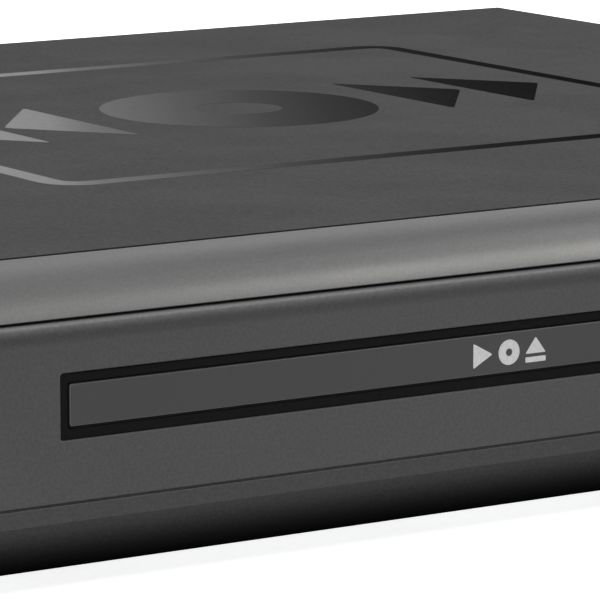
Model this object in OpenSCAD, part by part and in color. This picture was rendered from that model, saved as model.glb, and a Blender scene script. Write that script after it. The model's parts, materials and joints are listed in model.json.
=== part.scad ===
// Compact disc player with a motorised loading tray.
// +X is to the right of someone facing the front, +Y is towards the back, +Z is up.
// The origin is the middle of the overall box, on the surface that the feet stand on.

/* [Case] */
// Width of the top cover
body_w = 225; // [222:0.5:240]
// Depth of the top cover, from the front seam to its back edge
cover_d = 192.5; // [191:0.5:215]
// Height of the case without its feet
body_h = 38.6; // [38.2:0.1:46]
// Height of the feet
foot_h = 3; // [2.5:0.1:6]
// Radius of one foot
foot_r = 8; // [5:0.5:10]
// Thickness of the sheet steel
sheet = 0.8; // [0.6:0.05:1.1]
// Radius of the bend along the cover's long edges
bend_r = 2.2; // [1.6:0.1:3.5]
// Clearance between pieces of the case
fit_gap = 0.2; // [0.1:0.05:0.3]
// Width of one vent slot in the side walls and the rear panel
vent_w = 2; // [1:0.25:3]
// Height of one vent slot
vent_h = 13; // [8:0.5:16]
// Distance from one vent slot to the next
vent_pitch = 5; // [4:0.25:7]
// Number of vent slots in a row
vent_n = 11; // [4:1:12]

/* [Front] */
// How far the front stands ahead of the cover's front edge
front_out = 8.1; // [7.5:0.1:11]
// Wall thickness of the moulded front pieces
wall = 2; // [1.6:0.1:2.4]
// Drop from the top of the case to the lower edge of the trim strip
strip_drop = 6.8; // [6:0.1:7.5]
// Radius of the trim strip's convex face
strip_r = 11.2; // [10:0.1:16]
// Dark gap below the trim strip
strip_gap = 0.6; // [0.4:0.05:0.8]
// Radius of the front panel's upper edge
panel_r = 1.9; // [1:0.1:2.2]
// Drop from the top of the case to the seam above the lower trim
seam_drop = 29.4; // [28.5:0.1:30.5]
// Height of the seam above the lower trim
seam_gap = 0.35; // [0.25:0.05:0.5]
// Height and depth of the lower trim's curve under the case
chin_r = 7.5; // [6:0.1:8.5]
// How far the lower trim hangs below the case
chin_drop = 0.7; // [0.2:0.1:1.2]
// Degrees that the curve leans in at the lower trim's crease
chin_lean = 13; // [5:1:20]

/* [Door and tray] */
// Distance of the door's middle from the middle of the case
door_x = -28; // [-29:0.5:-24]
// Drop from the top of the case to the door's middle
door_drop = 17.5; // [17:0.1:18]
// Width of the door
door_w = 130.4; // [130:0.1:133]
// Height of the door
door_h = 5.7; // [5.5:0.1:6.5]
// Thickness of the door
door_t = 3; // [2.5:0.1:3.5]
// Width of the dark border around the door
reveal = 1.3; // [1:0.05:1.6]
// Gap between the door and its frame
door_gap = 0.35; // [0.25:0.05:0.5]
// How far the tray slides out
tray_travel = 126; // [100:1:128]
// Length of the tray behind the door
tray_len = 150; // [150:0.5:155]
// Width of the tray
tray_w = 129; // [128:0.1:129.4]
// Height of the tray
tray_h = 5.4; // [5.2:0.1:5.4]
// Diameter of a full-size disc
disc_d = 120; // [118:0.5:121]
// Diameter of a small disc
small_disc_d = 80; // [70:0.5:84]
// Clearance around a disc in its recess
disc_gap = 1; // [0.5:0.1:1.2]
// Depth of the disc recess
recess_h = 2.2; // [1.8:0.1:2.4]
// Width of the slot that the turntable and the lens pass through
slot_w = 36; // [34:0.5:40]

/* [Loader drive] */
// Tooth module of the rack and the tray pinion
rack_m = 1; // [1]
// Teeth of the tray pinion
pinion_n = 14; // [14:1:15]
// Tooth module of the gear pair below
gear_m = 0.8; // [0.8]
// Teeth of the wheel under the tray pinion
wheel_n = 32; // [30:1:33]
// Teeth of the gear on the belt pulley
small_n = 12; // [12:1:13]
// Radius of the belt groove in the large pulley
pulley_r = 11.4; // [10:0.1:11.6]
// Radius of the belt groove in the motor's pulley
motor_pulley_r = 2.2; // [2:0.1:2.8]
// Distance between the two pulleys
belt_len = 27; // [26:0.5:30]
// Thickness of the square belt
belt_t = 1.2; // [1:0.1:1.4]
// Radius of the loading motor
motor_r = 12; // [9:0.5:12]
// Radial clearance of a turning piece on its post
run_gap = 0.05; // [0.02:0.01:0.08]
// Radius of the gear posts
post_r = 1.5; // [1.2:0.1:1.8]

/* [Disc drive] */
// How far the pickup slides along its rods
pickup_travel = 35; // [20:0.5:36]
// How far the cam slider moves across
cam_travel = 14; // [12:0.5:15]
// Angle by which the drive platform tilts down
lift_angle = 4; // [3:0.1:4]
// Radius of the turntable
turntable_r = 14.5; // [13:0.1:15]
// Radius of the spindle motor
spindle_r = 11; // [9:0.1:12]
// Radius of the guide rods
rod_r = 1.5; // [1.2:0.1:1.8]
// Radius of the lens
lens_r = 3.2; // [2.5:0.1:3.6]
// Radius of the clamping disc's rim
clamper_r = 14; // [13:0.1:16]

/* [Controls and sockets] */
// Width of one button
button_w = 10; // [8:0.2:11]
// Height of one button
button_h = 4; // [3:0.1:5]
// How far a button stands out of the front panel
button_out = 0.9; // [0.8:0.1:1.2]
// How far a button can be pressed
button_travel = 0.8; // [0.4:0.1:0.8]
// Distance from one button to the next
button_pitch = 13.5; // [12.5:0.1:14]
// Width of the display window
window_w = 42; // [30:0.5:46]
// Height of the display window
window_h = 9; // [7:0.2:10]
// Radius of a phono socket's sleeve
phono_r = 4.15; // [3.8:0.05:4.4]
// How far a phono socket stands behind the cover's back edge
phono_out = 6.5; // [5:0.1:8]
// Distance from one phono socket to the next
phono_pitch = 14; // [12:0.25:15]
// How far the rear panel sits inside the cover's back edge
rear_inset = 2; // [1.5:0.1:3]
// Thickness of the circuit boards
board_t = 1.6; // [1:0.1:2]

/* [Hidden] */
$fn = 64;

// Case levels and faces
top_z = foot_h + body_h;
roof_z = top_z - sheet;
floor_z = foot_h + sheet;
total_d = button_out + front_out + cover_d + phono_out;
front_y = button_out - total_d / 2;
cover_y = front_y + front_out;
back_y = cover_y + cover_d;
in_x = body_w / 2 - sheet;
rear_y = back_y - rear_inset;
seam_z = top_z - seam_drop;
panel_top = top_z - strip_drop - strip_gap;
strip_edge = 0.9;
chin_y = front_y + 0.15;
chin_z = foot_h - chin_drop;
chin_arc_r = chin_r / (cos(chin_lean) - sin(chin_lean));
chin_arc_in = chin_arc_r * cos(chin_lean);
side_flange = 12;
floor_front = cover_y + fit_gap;
pan_x = in_x - fit_gap;

// Door, frame and tray
door_z = top_z - door_drop;
hole_w = door_w + 2 * reveal;
hole_h = door_h + 2 * reveal;
hole_r = 0.9;
ring_t = reveal - door_gap;
door_set = 0.1;
tray_y = front_y + door_set + door_t;
tray_z = door_z - tray_h / 2;
tray_top = tray_z + tray_h;
recess_z = tray_top - recess_h;
small_recess = 0.8;
recess_r = disc_d / 2 + disc_gap;
tray_margin = 4.5;
disc_y = tray_y + tray_margin + recess_r;

// Loader frame
rail_gap = 0.3;
run_x = tray_w / 2 + rail_gap;
rail_t = 2.5;
loader_x = run_x + rail_t;
ledge_w = 4.8;
ledge_t = 1.7;
ledge_gap = 0.1;
lip_w = 3.3;
lip_gap = 0.25;
lip_t = 1.2;
boss_h = 1.2;
boss_r = 4;
base_z = floor_z + boss_h;
base_t = 2;
deck_z = base_z + base_t;
loader_y = cover_y + fit_gap;
rail_top = tray_top + lip_gap + lip_t + 1.3;

// Gears and belt
rack_gap = 0.12;
stub = 0.75;
pocket_h = 1.6;
rack_inset = 7.5;
rack_x = tray_w / 2 - rack_inset;
pinion_r = rack_m * pinion_n / 2;
pinion_x = door_x + rack_x - pinion_r;
pinion_y = tray_y + 19;
pinion_t = 1.1;
wheel_z = deck_z + 1.5;
wheel_t = 2.5;
gear_gap = gear_m * (wheel_n + small_n) / 2;
pulley_x = pinion_x - gear_gap;
pulley_t = 3.4;
pulley_top = tray_z - 1.2;
pulley_z = pulley_top - pulley_t;
rim = 1.4;
belt_gap = 0.05;
belt_z = pulley_z + pulley_t / 2;
motor_x = pulley_x - belt_len;
motor_top = pulley_z - 0.6;
shaft_r = 1;

// Drive platform
hinge_y = disc_y + 96.4;
loader_back = hinge_y + 5.3;
loader_len = loader_back - loader_y;
hinge_z = floor_z + 8.7;
platform_z = floor_z + 8.4;
platform_t = 1.6;
platform_top = platform_z + platform_t;
platform_front = disc_y - 18.6;
platform_left = 38;
platform_right = 34;
pit = 3;
pin_r = 1.5;
pin_len = 5;
pin_x = 20;
pin_z = deck_z + 11.2;
hinge_r = 1.8;
pin_y = platform_front - pin_len + 1;
cam_y = platform_front - 4.5;
cam_t = 2.5;
cam_gap = 0.3;
cam_drop = (hinge_y - cam_y - cam_t / 2) * sin(lift_angle);
cam_top = tray_z - 0.4;
disc_lift = 1.2;
turntable_top = recess_z + disc_lift;
turntable_t = 3;
cone_r = 7.3;
cone_h = 2.2;
spindle_top = turntable_top - turntable_t - 0.5;
rod_x = 26;
rod_z = platform_top + 3.5;
rod_y0 = disc_y + 11.5;
rod_y1 = disc_y + 93;
rod_block = 2.4;
screw_x = 32;
screw_r = 1.6;
feed_r = rod_z - platform_top - 0.1;
feed_len = 17;
pickup_y = disc_y + 15.5;
pickup_len = 34;
pickup_x = 20;
pickup_z = platform_top + 0.4;
pickup_top = pickup_z + 6.4;
lens_y = disc_y + 24;
lens_seat = turntable_top - 2.6;
lens_t = 1;
lens_gap = 0.4;
arm_t = 8;

// Clamp
bridge_z = rail_top;
bridge_t = 1;
bridge_d = 34;
clamp_gap = 0.5;
clamper_z = tray_top + clamp_gap;
clamper_body = clamper_r - 2.6;
clamper_rim = 1;

// Right-hand bay, boards and controls
bay_x = door_x + loader_x + 5;
bay_w = in_x - fit_gap - sheet - 2 - bay_x;
bay_mid = bay_x + bay_w / 2;
stand_h = 5.2;
stand_r = 2.6;
board_z = floor_z + stand_h;
board_top = board_z + board_t;
main_y = front_y + 16;
main_d = 76;
power_y = main_y + main_d + 8;
panel_in = rear_y - sheet;
power_d = panel_in - 1 - power_y;
socket_y = loader_back + 4;
socket_d = panel_in - 2.2 - socket_y;
socket_x = -body_w / 2 + 19.2;
socket_w = door_x + loader_x - 2 - socket_x;
front_board_y = front_y + wall + 7;
front_board_h = 20;
front_board_z = seam_z + 1.4;
button_z = seam_z + seam_gap + 4.6;
button_x = bay_mid - 1.5 * button_pitch;
button_gap = 0.25;
button_in = 5.9;
window_z = panel_top - 7.2;
window_t = 1.5;
light_r = 1.25;
light_x = bay_mid + window_w / 2 + 5;
switch_d = front_board_y - front_y - button_in - 1.1;
stem_r = 1.6;

// Parts on the boards: width, depth and height
chip_size = [20, 20, 2];
memory_size = [16, 9, 1.6];
regulator_size = [8, 5, 1.6];
plug_size = [14, 5, 5];
core_size = [26, 22, 16];
winding_size = [34, 14, 10];
winding_z = 3;
big_cap_r = 7.5;
big_cap_h = 20;
small_cap_r = 4.5;
small_cap_h = 12;
small_cap_pitch = 13;
sink_size = [2, 30, 18];
fin_size = [6, 2, 15];
fin_pitch = 9;
wire_t = 1.4;
wire_pitch = 2.2;
wire_rise = 5;
ribbon_w = 16;
ribbon_t = 0.4;
ribbon_rise = 6;

// Sockets
phono_z = board_top + 7;
phono_body = 11;
phono_flange = 1;
phono_len = back_y + phono_out - rear_y;
phono_x = socket_x + 12;
phono_n = 4;
phono_hole = 1.6;
hdmi_x = socket_x + 84;
hdmi_w = 15;
hdmi_h = 5.6;
hdmi_t = 0.4;
hdmi_d = 12;
hdmi_out = 0.8;
inlet_x = bay_mid + 10;
inlet_r = 4.3;
inlet_w = 6.4;
inlet_t = 1.8;
inlet_d = 15;
inlet_flange = 1.2;
inlet_z = board_top + 8.5;
inlet_pin_r = 1.2;
inlet_pin_x = 4.3;

// Screws
head_r = 2.8;
head_h = 1.2;
thread_r = 1.4;
thread_len = 5;
side_screw_z = foot_h + 4;
side_screw_y = [cover_y + 32, back_y - 28];
rear_screw_x = [-in_x + 9, socket_x + 105, in_x - 6];
rear_screw_z = floor_z + 2.8;

// A box from its lowest corner and its size
module block(at, size) {
    translate(at) cube(size);
}

// A plate standing in the X-Z plane with its near face at y
module upright(y, depth) {
    translate([0, y + depth, 0]) rotate([90, 0, 0]) linear_extrude(height = depth) children();
}

// A profile drawn in Y and Z, carried along X
module along_x(x0, length) {
    translate([x0, 0, 0]) rotate([90, 0, 90]) linear_extrude(height = length) children();
}

// A rectangle with round corners, centred
module round_rect(w, h, r) {
    square([w - 2 * r, h], center = true);
    square([w, h - 2 * r], center = true);
    for (sx = [-1, 1], sy = [-1, 1]) translate([sx * (w / 2 - r), sy * (h / 2 - r)]) circle(r, $fn = 32);
}

// A tube or a disc standing on z
module tube(z, h, r, bore = 0) {
    translate([0, 0, z]) difference() {
        cylinder(h = h, r = r);
        if (bore > 0) translate([0, 0, -1]) cylinder(h = h + 2, r = bore);
    }
}

// A round bar lying along Y
module bar_y(x, y, z, length, r) {
    translate([x, y, z]) rotate([-90, 0, 0]) cylinder(h = length, r = r);
}

// A round bar lying along X
module bar_x(x, y, z, length, r) {
    translate([x, y, z]) rotate([0, 90, 0]) cylinder(h = length, r = r);
}

// Involute flank: the angle that the involute of base radius rb has turned at radius r
function involute(rb, r) = let (a = acos(rb / r)) tan(a) * 180 / PI - a;

// One tooth's outline from root to root, centred on angle 0
function tooth(m, n) = let (
    rp = m * n / 2,
    rb = rp * cos(20),
    ra = rp + stub * m,
    rf = rp - m,
    half = 90 / n - rack_gap / 2 / rp * 180 / PI + involute(rb, rp),
    low = max(rb, rf) * 1.0005,
    up = [for (i = [0:4]) low + (ra - low) * i / 4]
) concat(
    [[rf, -half]],
    [for (r = up) [r, -half + involute(rb, r)]],
    [for (i = [4:-1:0]) [up[i], half - involute(rb, up[i])]],
    [[rf, half]]
);

// A spur gear's outline with a tooth on +X
module gear_outline(m, n) {
    polygon([for (k = [0:n - 1]) for (p = tooth(m, n))
        [p[0] * cos(p[1] + 360 * k / n), p[0] * sin(p[1] + 360 * k / n)]]);
}

// Slots for air, in a row along the first axis of the plane
module vents() {
    for (i = [0:vent_n - 1]) translate([(i - (vent_n - 1) / 2) * vent_pitch, 0])
        round_rect(vent_w, vent_h, vent_w / 2 - 0.01);
}

// The convex face of the trim strip runs on a circle through its two edges
strip_a = [cover_y - 0.4, top_z - 0.25];
strip_b = [front_y + strip_edge, top_z - strip_drop];
strip_mid = (strip_a + strip_b) / 2;
strip_half = norm(strip_a - strip_b) / 2;
strip_dir = (strip_a - strip_b) / (2 * strip_half);
strip_c = strip_mid + sqrt(strip_r * strip_r - strip_half * strip_half) * [strip_dir[1], -strip_dir[0]];

module trim_strip() {
    color([0.45, 0.45, 0.44]) difference() {
        union() {
            along_x(-body_w / 2, body_w) {
                difference() {
                    strip_solid();
                    translate(strip_c) circle(strip_r - wall, $fn = 128);
                }
                translate([strip_b[0] + wall * 0.6, strip_b[1]])
                    square([strip_a[0] - strip_b[0] - wall * 0.6, 1.2]);
                translate([strip_a[0] - wall, strip_a[1] - wall])
                    square([wall + 6, wall - sheet - fit_gap + 0.25]);
            }
            for (x = [-body_w / 2, body_w / 2 - wall]) along_x(x, wall) strip_solid();
        }
        for (s = [-1, 1]) translate([s * (in_x + sheet / 2 - fit_gap), strip_a[0] + 5, top_z])
            cube([sheet + 2 * fit_gap + 0.8, 10, 4 * wall], center = true);
    }
}

// The trim strip's section, filled from its convex face back to the seam
module strip_solid() {
    intersection() {
        translate(strip_c) circle(strip_r, $fn = 128);
        translate(strip_b) square([strip_a[0] - strip_b[0], strip_a[1] - strip_b[1] + 3]);
    }
}

module top_cover() {
    color([0.31, 0.31, 0.32]) difference() {
        upright(cover_y, cover_d) difference() {
            cover_outline(0);
            cover_outline(sheet);
        }
        for (s = [-1, 1]) {
            translate([s * in_x, back_y - 46, foot_h + body_h / 2 + 2]) rotate([90, 0, 90])
                linear_extrude(height = 4 * sheet, center = true) vents();
            for (y = side_screw_y)
                bar_x(s * in_x - 3 * sheet, y, side_screw_z, 6 * sheet, thread_r + fit_gap);
        }
    }
}

// The cover's outline, drawn in by t: flat on top, round at the two bends, open below
module cover_outline(t) {
    w = body_w / 2 - t;
    r = bend_r - t;
    z = top_z - t;
    low = t > 0 ? foot_h - 1 : foot_h + fit_gap;
    translate([-w, low]) square([2 * w, z - r - low]);
    translate([-w + r, z - r - 1]) square([2 * (w - r), r + 1]);
    for (s = [-1, 1]) translate([s * (w - r), z - r]) circle(r, $fn = 48);
}

module bottom_chassis() {
    color([0.62, 0.63, 0.64]) difference() {
        union() {
            block([-pan_x, floor_front, foot_h], [2 * pan_x, rear_y - floor_front, sheet]);
            for (s = [-1, 1]) translate([s * (pan_x - sheet / 2) - sheet / 2, floor_front, foot_h])
                cube([sheet, rear_y - sheet - fit_gap - floor_front, side_flange]);
            block([bay_x, floor_front, foot_h], [bay_w, sheet, 7]);
            block([-pan_x, panel_in - sheet - fit_gap, foot_h], [2 * pan_x, sheet, 3]);
            for (x = rear_screw_x) block([x - 5, panel_in - sheet - fit_gap, foot_h], [10, sheet, 10]);
            for (p = loader_bosses()) translate([p[0], p[1], 0]) tube(foot_h, boss_h + sheet, boss_r);
            for (p = stands()) translate([p[0], p[1], 0]) tube(foot_h, stand_h + sheet, stand_r);
        }
        for (p = loader_bosses()) translate([p[0], p[1], 0]) tube(foot_h - 1, 20, thread_r);
        for (s = [-1, 1], y = side_screw_y)
            bar_x(s * pan_x - 3 * sheet, y, side_screw_z, 6 * sheet, thread_r);
        for (x = rear_screw_x) bar_y(x, panel_in - 4, rear_screw_z, 8, thread_r);
        for (row = [0:2]) translate([bay_mid, power_y + 14 + row * 18, foot_h])
            linear_extrude(height = 3, center = true) vents();
    }
}

// Places of the screws that hold the loader
function loader_bosses() = [for (s = [-1, 1], y = [loader_y + 6, loader_back - 6])
    [door_x + s * (loader_x - 9), y]];

// Places of the posts under the boards
function stands() = concat(
    [for (s = [-1, 1], y = [main_y + 4, main_y + main_d - 4, power_y + 4, power_y + power_d - 8])
        [bay_mid + s * (bay_w / 2 - 4), y]],
    [for (x = [socket_x + 4, socket_x + socket_w - 4]) [x, socket_y + 4]]
);

module rear_panel() {
    color([0.55, 0.56, 0.57]) difference() {
        upright(panel_in, sheet) difference() {
            translate([-in_x + 2 * fit_gap, floor_z + fit_gap])
                square([2 * in_x - 4 * fit_gap, roof_z - floor_z - 2 * fit_gap]);
            for (i = [0:phono_n - 1]) translate([phono_x + i * phono_pitch, phono_z])
                circle(phono_r + 0.6);
            translate([hdmi_x, board_top + hdmi_h / 2 + fit_gap])
                square([hdmi_w + 0.8, hdmi_h + 0.8], center = true);
            translate([inlet_x, inlet_z]) inlet_outline(inlet_t + fit_gap);
            translate([-6, top_z - 15]) vents();
            for (x = rear_screw_x) translate([x, rear_screw_z]) circle(thread_r + fit_gap);
        }
        for (s = [-1, 1]) translate([s * in_x, rear_y, roof_z]) rotate([0, 45, 0])
            cube([2.4, 4 * sheet, 2.4], center = true);
    }
}

// The figure-of-eight outline of the mains inlet, grown by t
module inlet_outline(t) {
    square([inlet_w, 2 * (inlet_r + t)], center = true);
    for (s = [-1, 1]) translate([s * inlet_w / 2, 0]) circle(inlet_r + t);
}

module front_panel() {
    color([0.3, 0.3, 0.3]) difference() {
        union() {
            along_x(-body_w / 2, body_w) panel_profile();
            for (s = [-1, 1]) translate([s * (body_w / 2 - wall / 2) - wall / 2, 0, 0])
                along_x(0, wall) translate([front_y + panel_r, seam_z + seam_gap])
                    square([front_out - panel_r - fit_gap, panel_top - seam_z - seam_gap]);
        }
        upright(front_y - 1, wall + 2) {
            translate([door_x, door_z]) round_rect(hole_w, hole_h, hole_r);
            translate([bay_mid, window_z]) round_rect(window_w, window_h, 0.8);
            translate([light_x, window_z]) circle(light_r + fit_gap / 2);
            for (i = [0:3]) translate([button_x + i * button_pitch, button_z])
                round_rect(button_w + 2 * button_gap, button_h + 2 * button_gap, 1);
        }
    }
}

// Section of the front panel: a flat face, a round upper edge and a shelf under the trim strip
module panel_profile() {
    low = seam_z + seam_gap;
    translate([front_y, low]) square([wall, panel_top - panel_r - low]);
    translate([front_y + panel_r, panel_top - wall]) square([front_out - panel_r - fit_gap, wall]);
    intersection() {
        translate([front_y + panel_r, panel_top - panel_r]) circle(panel_r, $fn = 48);
        translate([front_y, panel_top - panel_r]) square(panel_r);
    }
    translate([front_y + panel_r - 0.01, panel_top - wall - 0.3]) square([wall, wall + 0.29]);
    translate([front_y, low]) square([front_out * 0.6, 1.2]);
}

module lower_trim() {
    color([0.25, 0.25, 0.25]) {
        along_x(-body_w / 2, body_w) difference() {
            chin_solid();
            translate([chin_y + chin_r, chin_z + chin_r]) circle(chin_r - wall, $fn = 96);
            translate([chin_y + wall, chin_z + chin_r]) square([front_out, seam_z - wall - chin_z - chin_r]);
            translate([chin_y + chin_r, chin_z + wall]) square([front_out, chin_r - wall + 0.01]);
        }
        for (x = [-body_w / 2, body_w / 2 - wall]) along_x(x, wall) chin_solid();
    }
}

// The lower trim's section: flat down to a crease, then curved under the case
module chin_solid() {
    translate([chin_y, chin_z + chin_r]) square([cover_y - chin_y, seam_z - chin_z - chin_r]);
    translate([chin_y + chin_r - 0.01, chin_z]) square([cover_y - chin_y - chin_r + 0.01, chin_r + 0.01]);
    intersection() {
        translate([chin_y + chin_arc_in, chin_z + chin_arc_in]) circle(chin_arc_r, $fn = 96);
        translate([chin_y, chin_z]) square(chin_r + 0.01);
    }
}

module tray_frame() {
    depth = 5;
    color([0.07, 0.07, 0.07]) difference() {
        union() {
            upright(front_y + 0.3, depth) translate([door_x, door_z])
                round_rect(hole_w - 0.1, hole_h - 0.1, hole_r);
            upright(front_y + wall + 0.05, 1.2) translate([door_x, door_z])
                round_rect(hole_w + 4, hole_h + 4, hole_r);
        }
        upright(front_y - 1, depth + 3) translate([door_x, door_z])
            round_rect(hole_w - 2 * ring_t, hole_h - 2 * ring_t, hole_r / 2);
    }
}

module tray_door() {
    color([0.27, 0.27, 0.28]) {
        upright(front_y + door_set, door_t) translate([door_x, door_z]) round_rect(door_w, door_h, 0.6);
    }
}

module display_window() {
    color([0.03, 0.03, 0.05]) upright(front_y + 0.15, window_t) translate([bay_mid, window_z])
        round_rect(window_w - 0.1, window_h - 0.1, 0.75);
}

module standby_light() {
    color([0.8, 0.1, 0.08]) {
        bar_y(light_x, front_y + 0.1, window_z, wall + 3, light_r);
        bar_y(light_x, front_y + wall + 3.1, window_z, front_board_y - front_y - wall - 3.1, light_r + 0.6);
    }
}

// A push button: a cap in its hole with a collar behind the panel and a stem to its switch
module push_button(i) {
    x = button_x + i * button_pitch;
    color([0.22, 0.22, 0.22]) {
        upright(front_y - button_out, button_out + wall + 0.1) translate([x, button_z])
            round_rect(button_w, button_h, 0.8);
        upright(front_y + wall + 0.1, 1) translate([x, button_z])
            round_rect(button_w + 1.6, button_h + 1.6, 0.8);
        bar_y(x, front_y + wall + 1.05, button_z, button_in - wall - 1.05, stem_r);
    }
}

module power_button() { push_button(0); }
module open_close_button() { push_button(1); }
module play_button() { push_button(2); }
module stop_button() { push_button(3); }

module feet() {
    inset = 22;
    color([0.08, 0.08, 0.08]) for (x = [-1, 1], y = [cover_y + inset, back_y - inset])
        translate([x * (body_w / 2 - inset), y, 0]) {
            cylinder(h = foot_h, r = foot_r);
        }
}

// A pan-head screw along +Z with the underside of its head at the origin
module screw(length) {
    difference() {
        union() {
            translate([0, 0, -head_h]) cylinder(h = head_h, r = head_r);
            cylinder(h = length, r = thread_r - run_gap);
        }
        for (a = [0, 90]) rotate([0, 0, a]) translate([0, 0, -head_h])
            cube([head_r * 1.2, head_r / 4, head_h], center = true);
    }
}

module cover_screws() {
    color([0.2, 0.2, 0.21]) for (s = [-1, 1], y = side_screw_y)
        translate([s * body_w / 2, y, side_screw_z]) rotate([0, -s * 90, 0]) screw(thread_len);
}

module rear_screws() {
    color([0.2, 0.2, 0.21]) for (x = rear_screw_x)
        translate([x, rear_y, rear_screw_z]) rotate([90, 0, 0]) screw(thread_len);
}

module loader_screws() {
    color([0.7, 0.7, 0.72]) for (p = loader_bosses())
        translate([p[0], p[1], deck_z]) rotate([180, 0, 0]) screw(base_t + boss_h);
}

// A bar along the inner side of a rail, at the left or the right
module rail_bar(side, y, z, size) {
    block([door_x + side * (run_x - size[0] / 2) - size[0] / 2 - 0.01, y, z], size + [0.02, 0, 0]);
}

module loader_frame() {
    color([0.16, 0.16, 0.17]) difference() {
        union() {
            block([door_x - loader_x, loader_y, base_z], [2 * loader_x, loader_len, base_t]);
            for (s = [-1, 1]) {
                translate([door_x + s * (run_x + rail_t / 2) - rail_t / 2, loader_y, base_z])
                    cube([rail_t, loader_len, rail_top - base_z]);
                rail_bar(s, loader_y, tray_z - ledge_gap - ledge_t, [ledge_w, loader_len, ledge_t]);
                for (lip = [[loader_y, 28], [loader_back - 60, 56]])
                    rail_bar(s, lip[0], tray_top + lip_gap, [lip_w, lip[1], lip_t]);
            }
            translate([pinion_x, pinion_y, 0]) tube(base_z, tray_z + pocket_h - 0.5 - base_z, post_r);
            translate([pulley_x, pinion_y, 0]) tube(base_z, pulley_top - 0.3 - base_z, post_r);
            translate([motor_x, pinion_y, 0]) tube(base_z, 6, motor_r + fit_gap + 1.5);
            for (y = [cam_y - cam_gap - 1, cam_y + cam_t + cam_gap])
                block([door_x - 54, y, base_z], [108, 1, base_t + 1.2]);
            for (x = [-platform_left - pit - 2.5, platform_right + pit])
                block([door_x + x, hinge_y - 5, base_z], [2.5, 10, hinge_z + 4 - base_z]);
            block([door_x - loader_x, loader_back - rail_t, base_z], [2 * loader_x, rail_t, 8]);
        }
        block([door_x - platform_left - pit, platform_front - 0.6, base_z - 1],
            [platform_left + platform_right + 2 * pit, hinge_y + 1.6 - platform_front, base_t + 2]);
        translate([motor_x, pinion_y, 0]) tube(deck_z, 12, motor_r + fit_gap);
        bar_x(door_x - platform_left - pit - 4, hinge_y, hinge_z, 200, hinge_r + run_gap);
        for (p = loader_bosses()) translate([p[0], p[1], 0]) tube(base_z - 1, 6, thread_r + 0.1);
    }
}

module tray() {
    color([0.13, 0.13, 0.14]) difference() {
        block([door_x - tray_w / 2, tray_y, tray_z], [tray_w, tray_len, tray_h]);
        translate([door_x, disc_y, 0]) tube(recess_z, tray_h, recess_r);
        translate([door_x, disc_y, 0]) tube(recess_z - small_recess, tray_h, small_disc_d / 2 + disc_gap / 2);
        translate([door_x, disc_y, 0]) tube(tray_z - 1, tray_h + 2, slot_w / 2);
        block([door_x - slot_w / 2, disc_y, tray_z - 1], [slot_w, tray_len, tray_h + 2]);
        for (s = [-1, 1]) translate([door_x + s * (tray_w / 2 - 9), disc_y + recess_r + 6, recess_z])
            cylinder(h = tray_h, r = 6);
        for (s = [-1, 1]) translate([door_x + s * recess_r, disc_y, recess_z - 0.3])
            cylinder(h = tray_h, r = 9);
        rack_pocket();
        for (x = [-48, -32]) block([door_x + x, tray_y + 12, tray_z - 1], [10, tray_len - 24, 2.2]);
    }
}

// The channel under the tray, with the rack's teeth along its outer side
module rack_pocket() {
    p = PI * rack_m;
    count = floor(tray_len / p);
    inner = pinion_x - pinion_r - stub * rack_m - 1;
    root = pinion_x + pinion_r + rack_m;
    tip = pinion_x + pinion_r - stub * rack_m;
    wide = p / 4 - rack_gap / 2 + rack_m * tan(20);
    thin = p / 4 - rack_gap / 2 - stub * rack_m * tan(20);
    y0 = pinion_y - p / 2 - 4 * p;
    translate([0, 0, tray_z - 1]) linear_extrude(height = pocket_h + 1) difference() {
        translate([inner, y0]) square([root - inner, tray_y + tray_len + 1 - y0]);
        for (k = [0:count]) translate([0, y0 + k * p])
            polygon([[root + 0.01, -wide], [tip, -thin], [tip, thin], [root + 0.01, wide]]);
    }
}

module tray_pinion() {
    color([0.85, 0.84, 0.8]) difference() {
        union() {
            translate([pinion_x, pinion_y, tray_z + 0.2]) linear_extrude(height = pinion_t)
                gear_outline(rack_m, pinion_n);
            translate([pinion_x, pinion_y, wheel_z]) rotate([0, 0, 180]) linear_extrude(height = wheel_t)
                gear_outline(gear_m, wheel_n);
            translate([pinion_x, pinion_y, 0]) tube(deck_z + 0.1, tray_z + 0.3 - deck_z, 3.4);
        }
        translate([pinion_x, pinion_y, 0]) tube(base_z, 30, post_r + run_gap);
    }
}

module pulley_gear() {
    color([0.85, 0.84, 0.8]) difference() {
        union() {
            translate([pulley_x, pinion_y, wheel_z - 0.2]) rotate([0, 0, 180 / small_n])
                linear_extrude(height = wheel_t + 0.4) gear_outline(gear_m, small_n);
            translate([pulley_x, pinion_y, 0]) tube(deck_z + 0.1, pulley_z + 0.2 - deck_z, 3);
            translate([pulley_x, pinion_y, 0]) pulley(pulley_r);
        }
        translate([pulley_x, pinion_y, 0]) tube(base_z, 30, post_r + run_gap);
    }
}

// A pulley with a square groove for the belt
module pulley(r) {
    side = (pulley_t - belt_t - 2 * belt_gap) / 2;
    translate([0, 0, pulley_z]) {
        cylinder(h = pulley_t, r = r);
        cylinder(h = side, r = r + rim);
        translate([0, 0, pulley_t - side]) cylinder(h = side, r = r + rim);
    }
}

module motor_pulley() {
    color([0.75, 0.7, 0.45]) translate([motor_x, pinion_y, 0]) difference() {
        pulley(motor_pulley_r);
        tube(pulley_z - 1, pulley_t + 2, shaft_r);
    }
}

module motor_shaft() {
    color([0.8, 0.8, 0.82]) translate([motor_x, pinion_y, 0])
        tube(motor_top - 3, pulley_top - motor_top + 2.8, shaft_r);
}

module loader_motor() {
    color([0.66, 0.67, 0.68]) translate([motor_x, pinion_y, 0]) difference() {
        union() {
            tube(deck_z, motor_top - 1 - deck_z, motor_r);
            tube(deck_z, motor_top - deck_z, motor_r * 0.3);
        }
        tube(motor_top - 4, 6, shaft_r + run_gap);
    }
}

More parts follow.
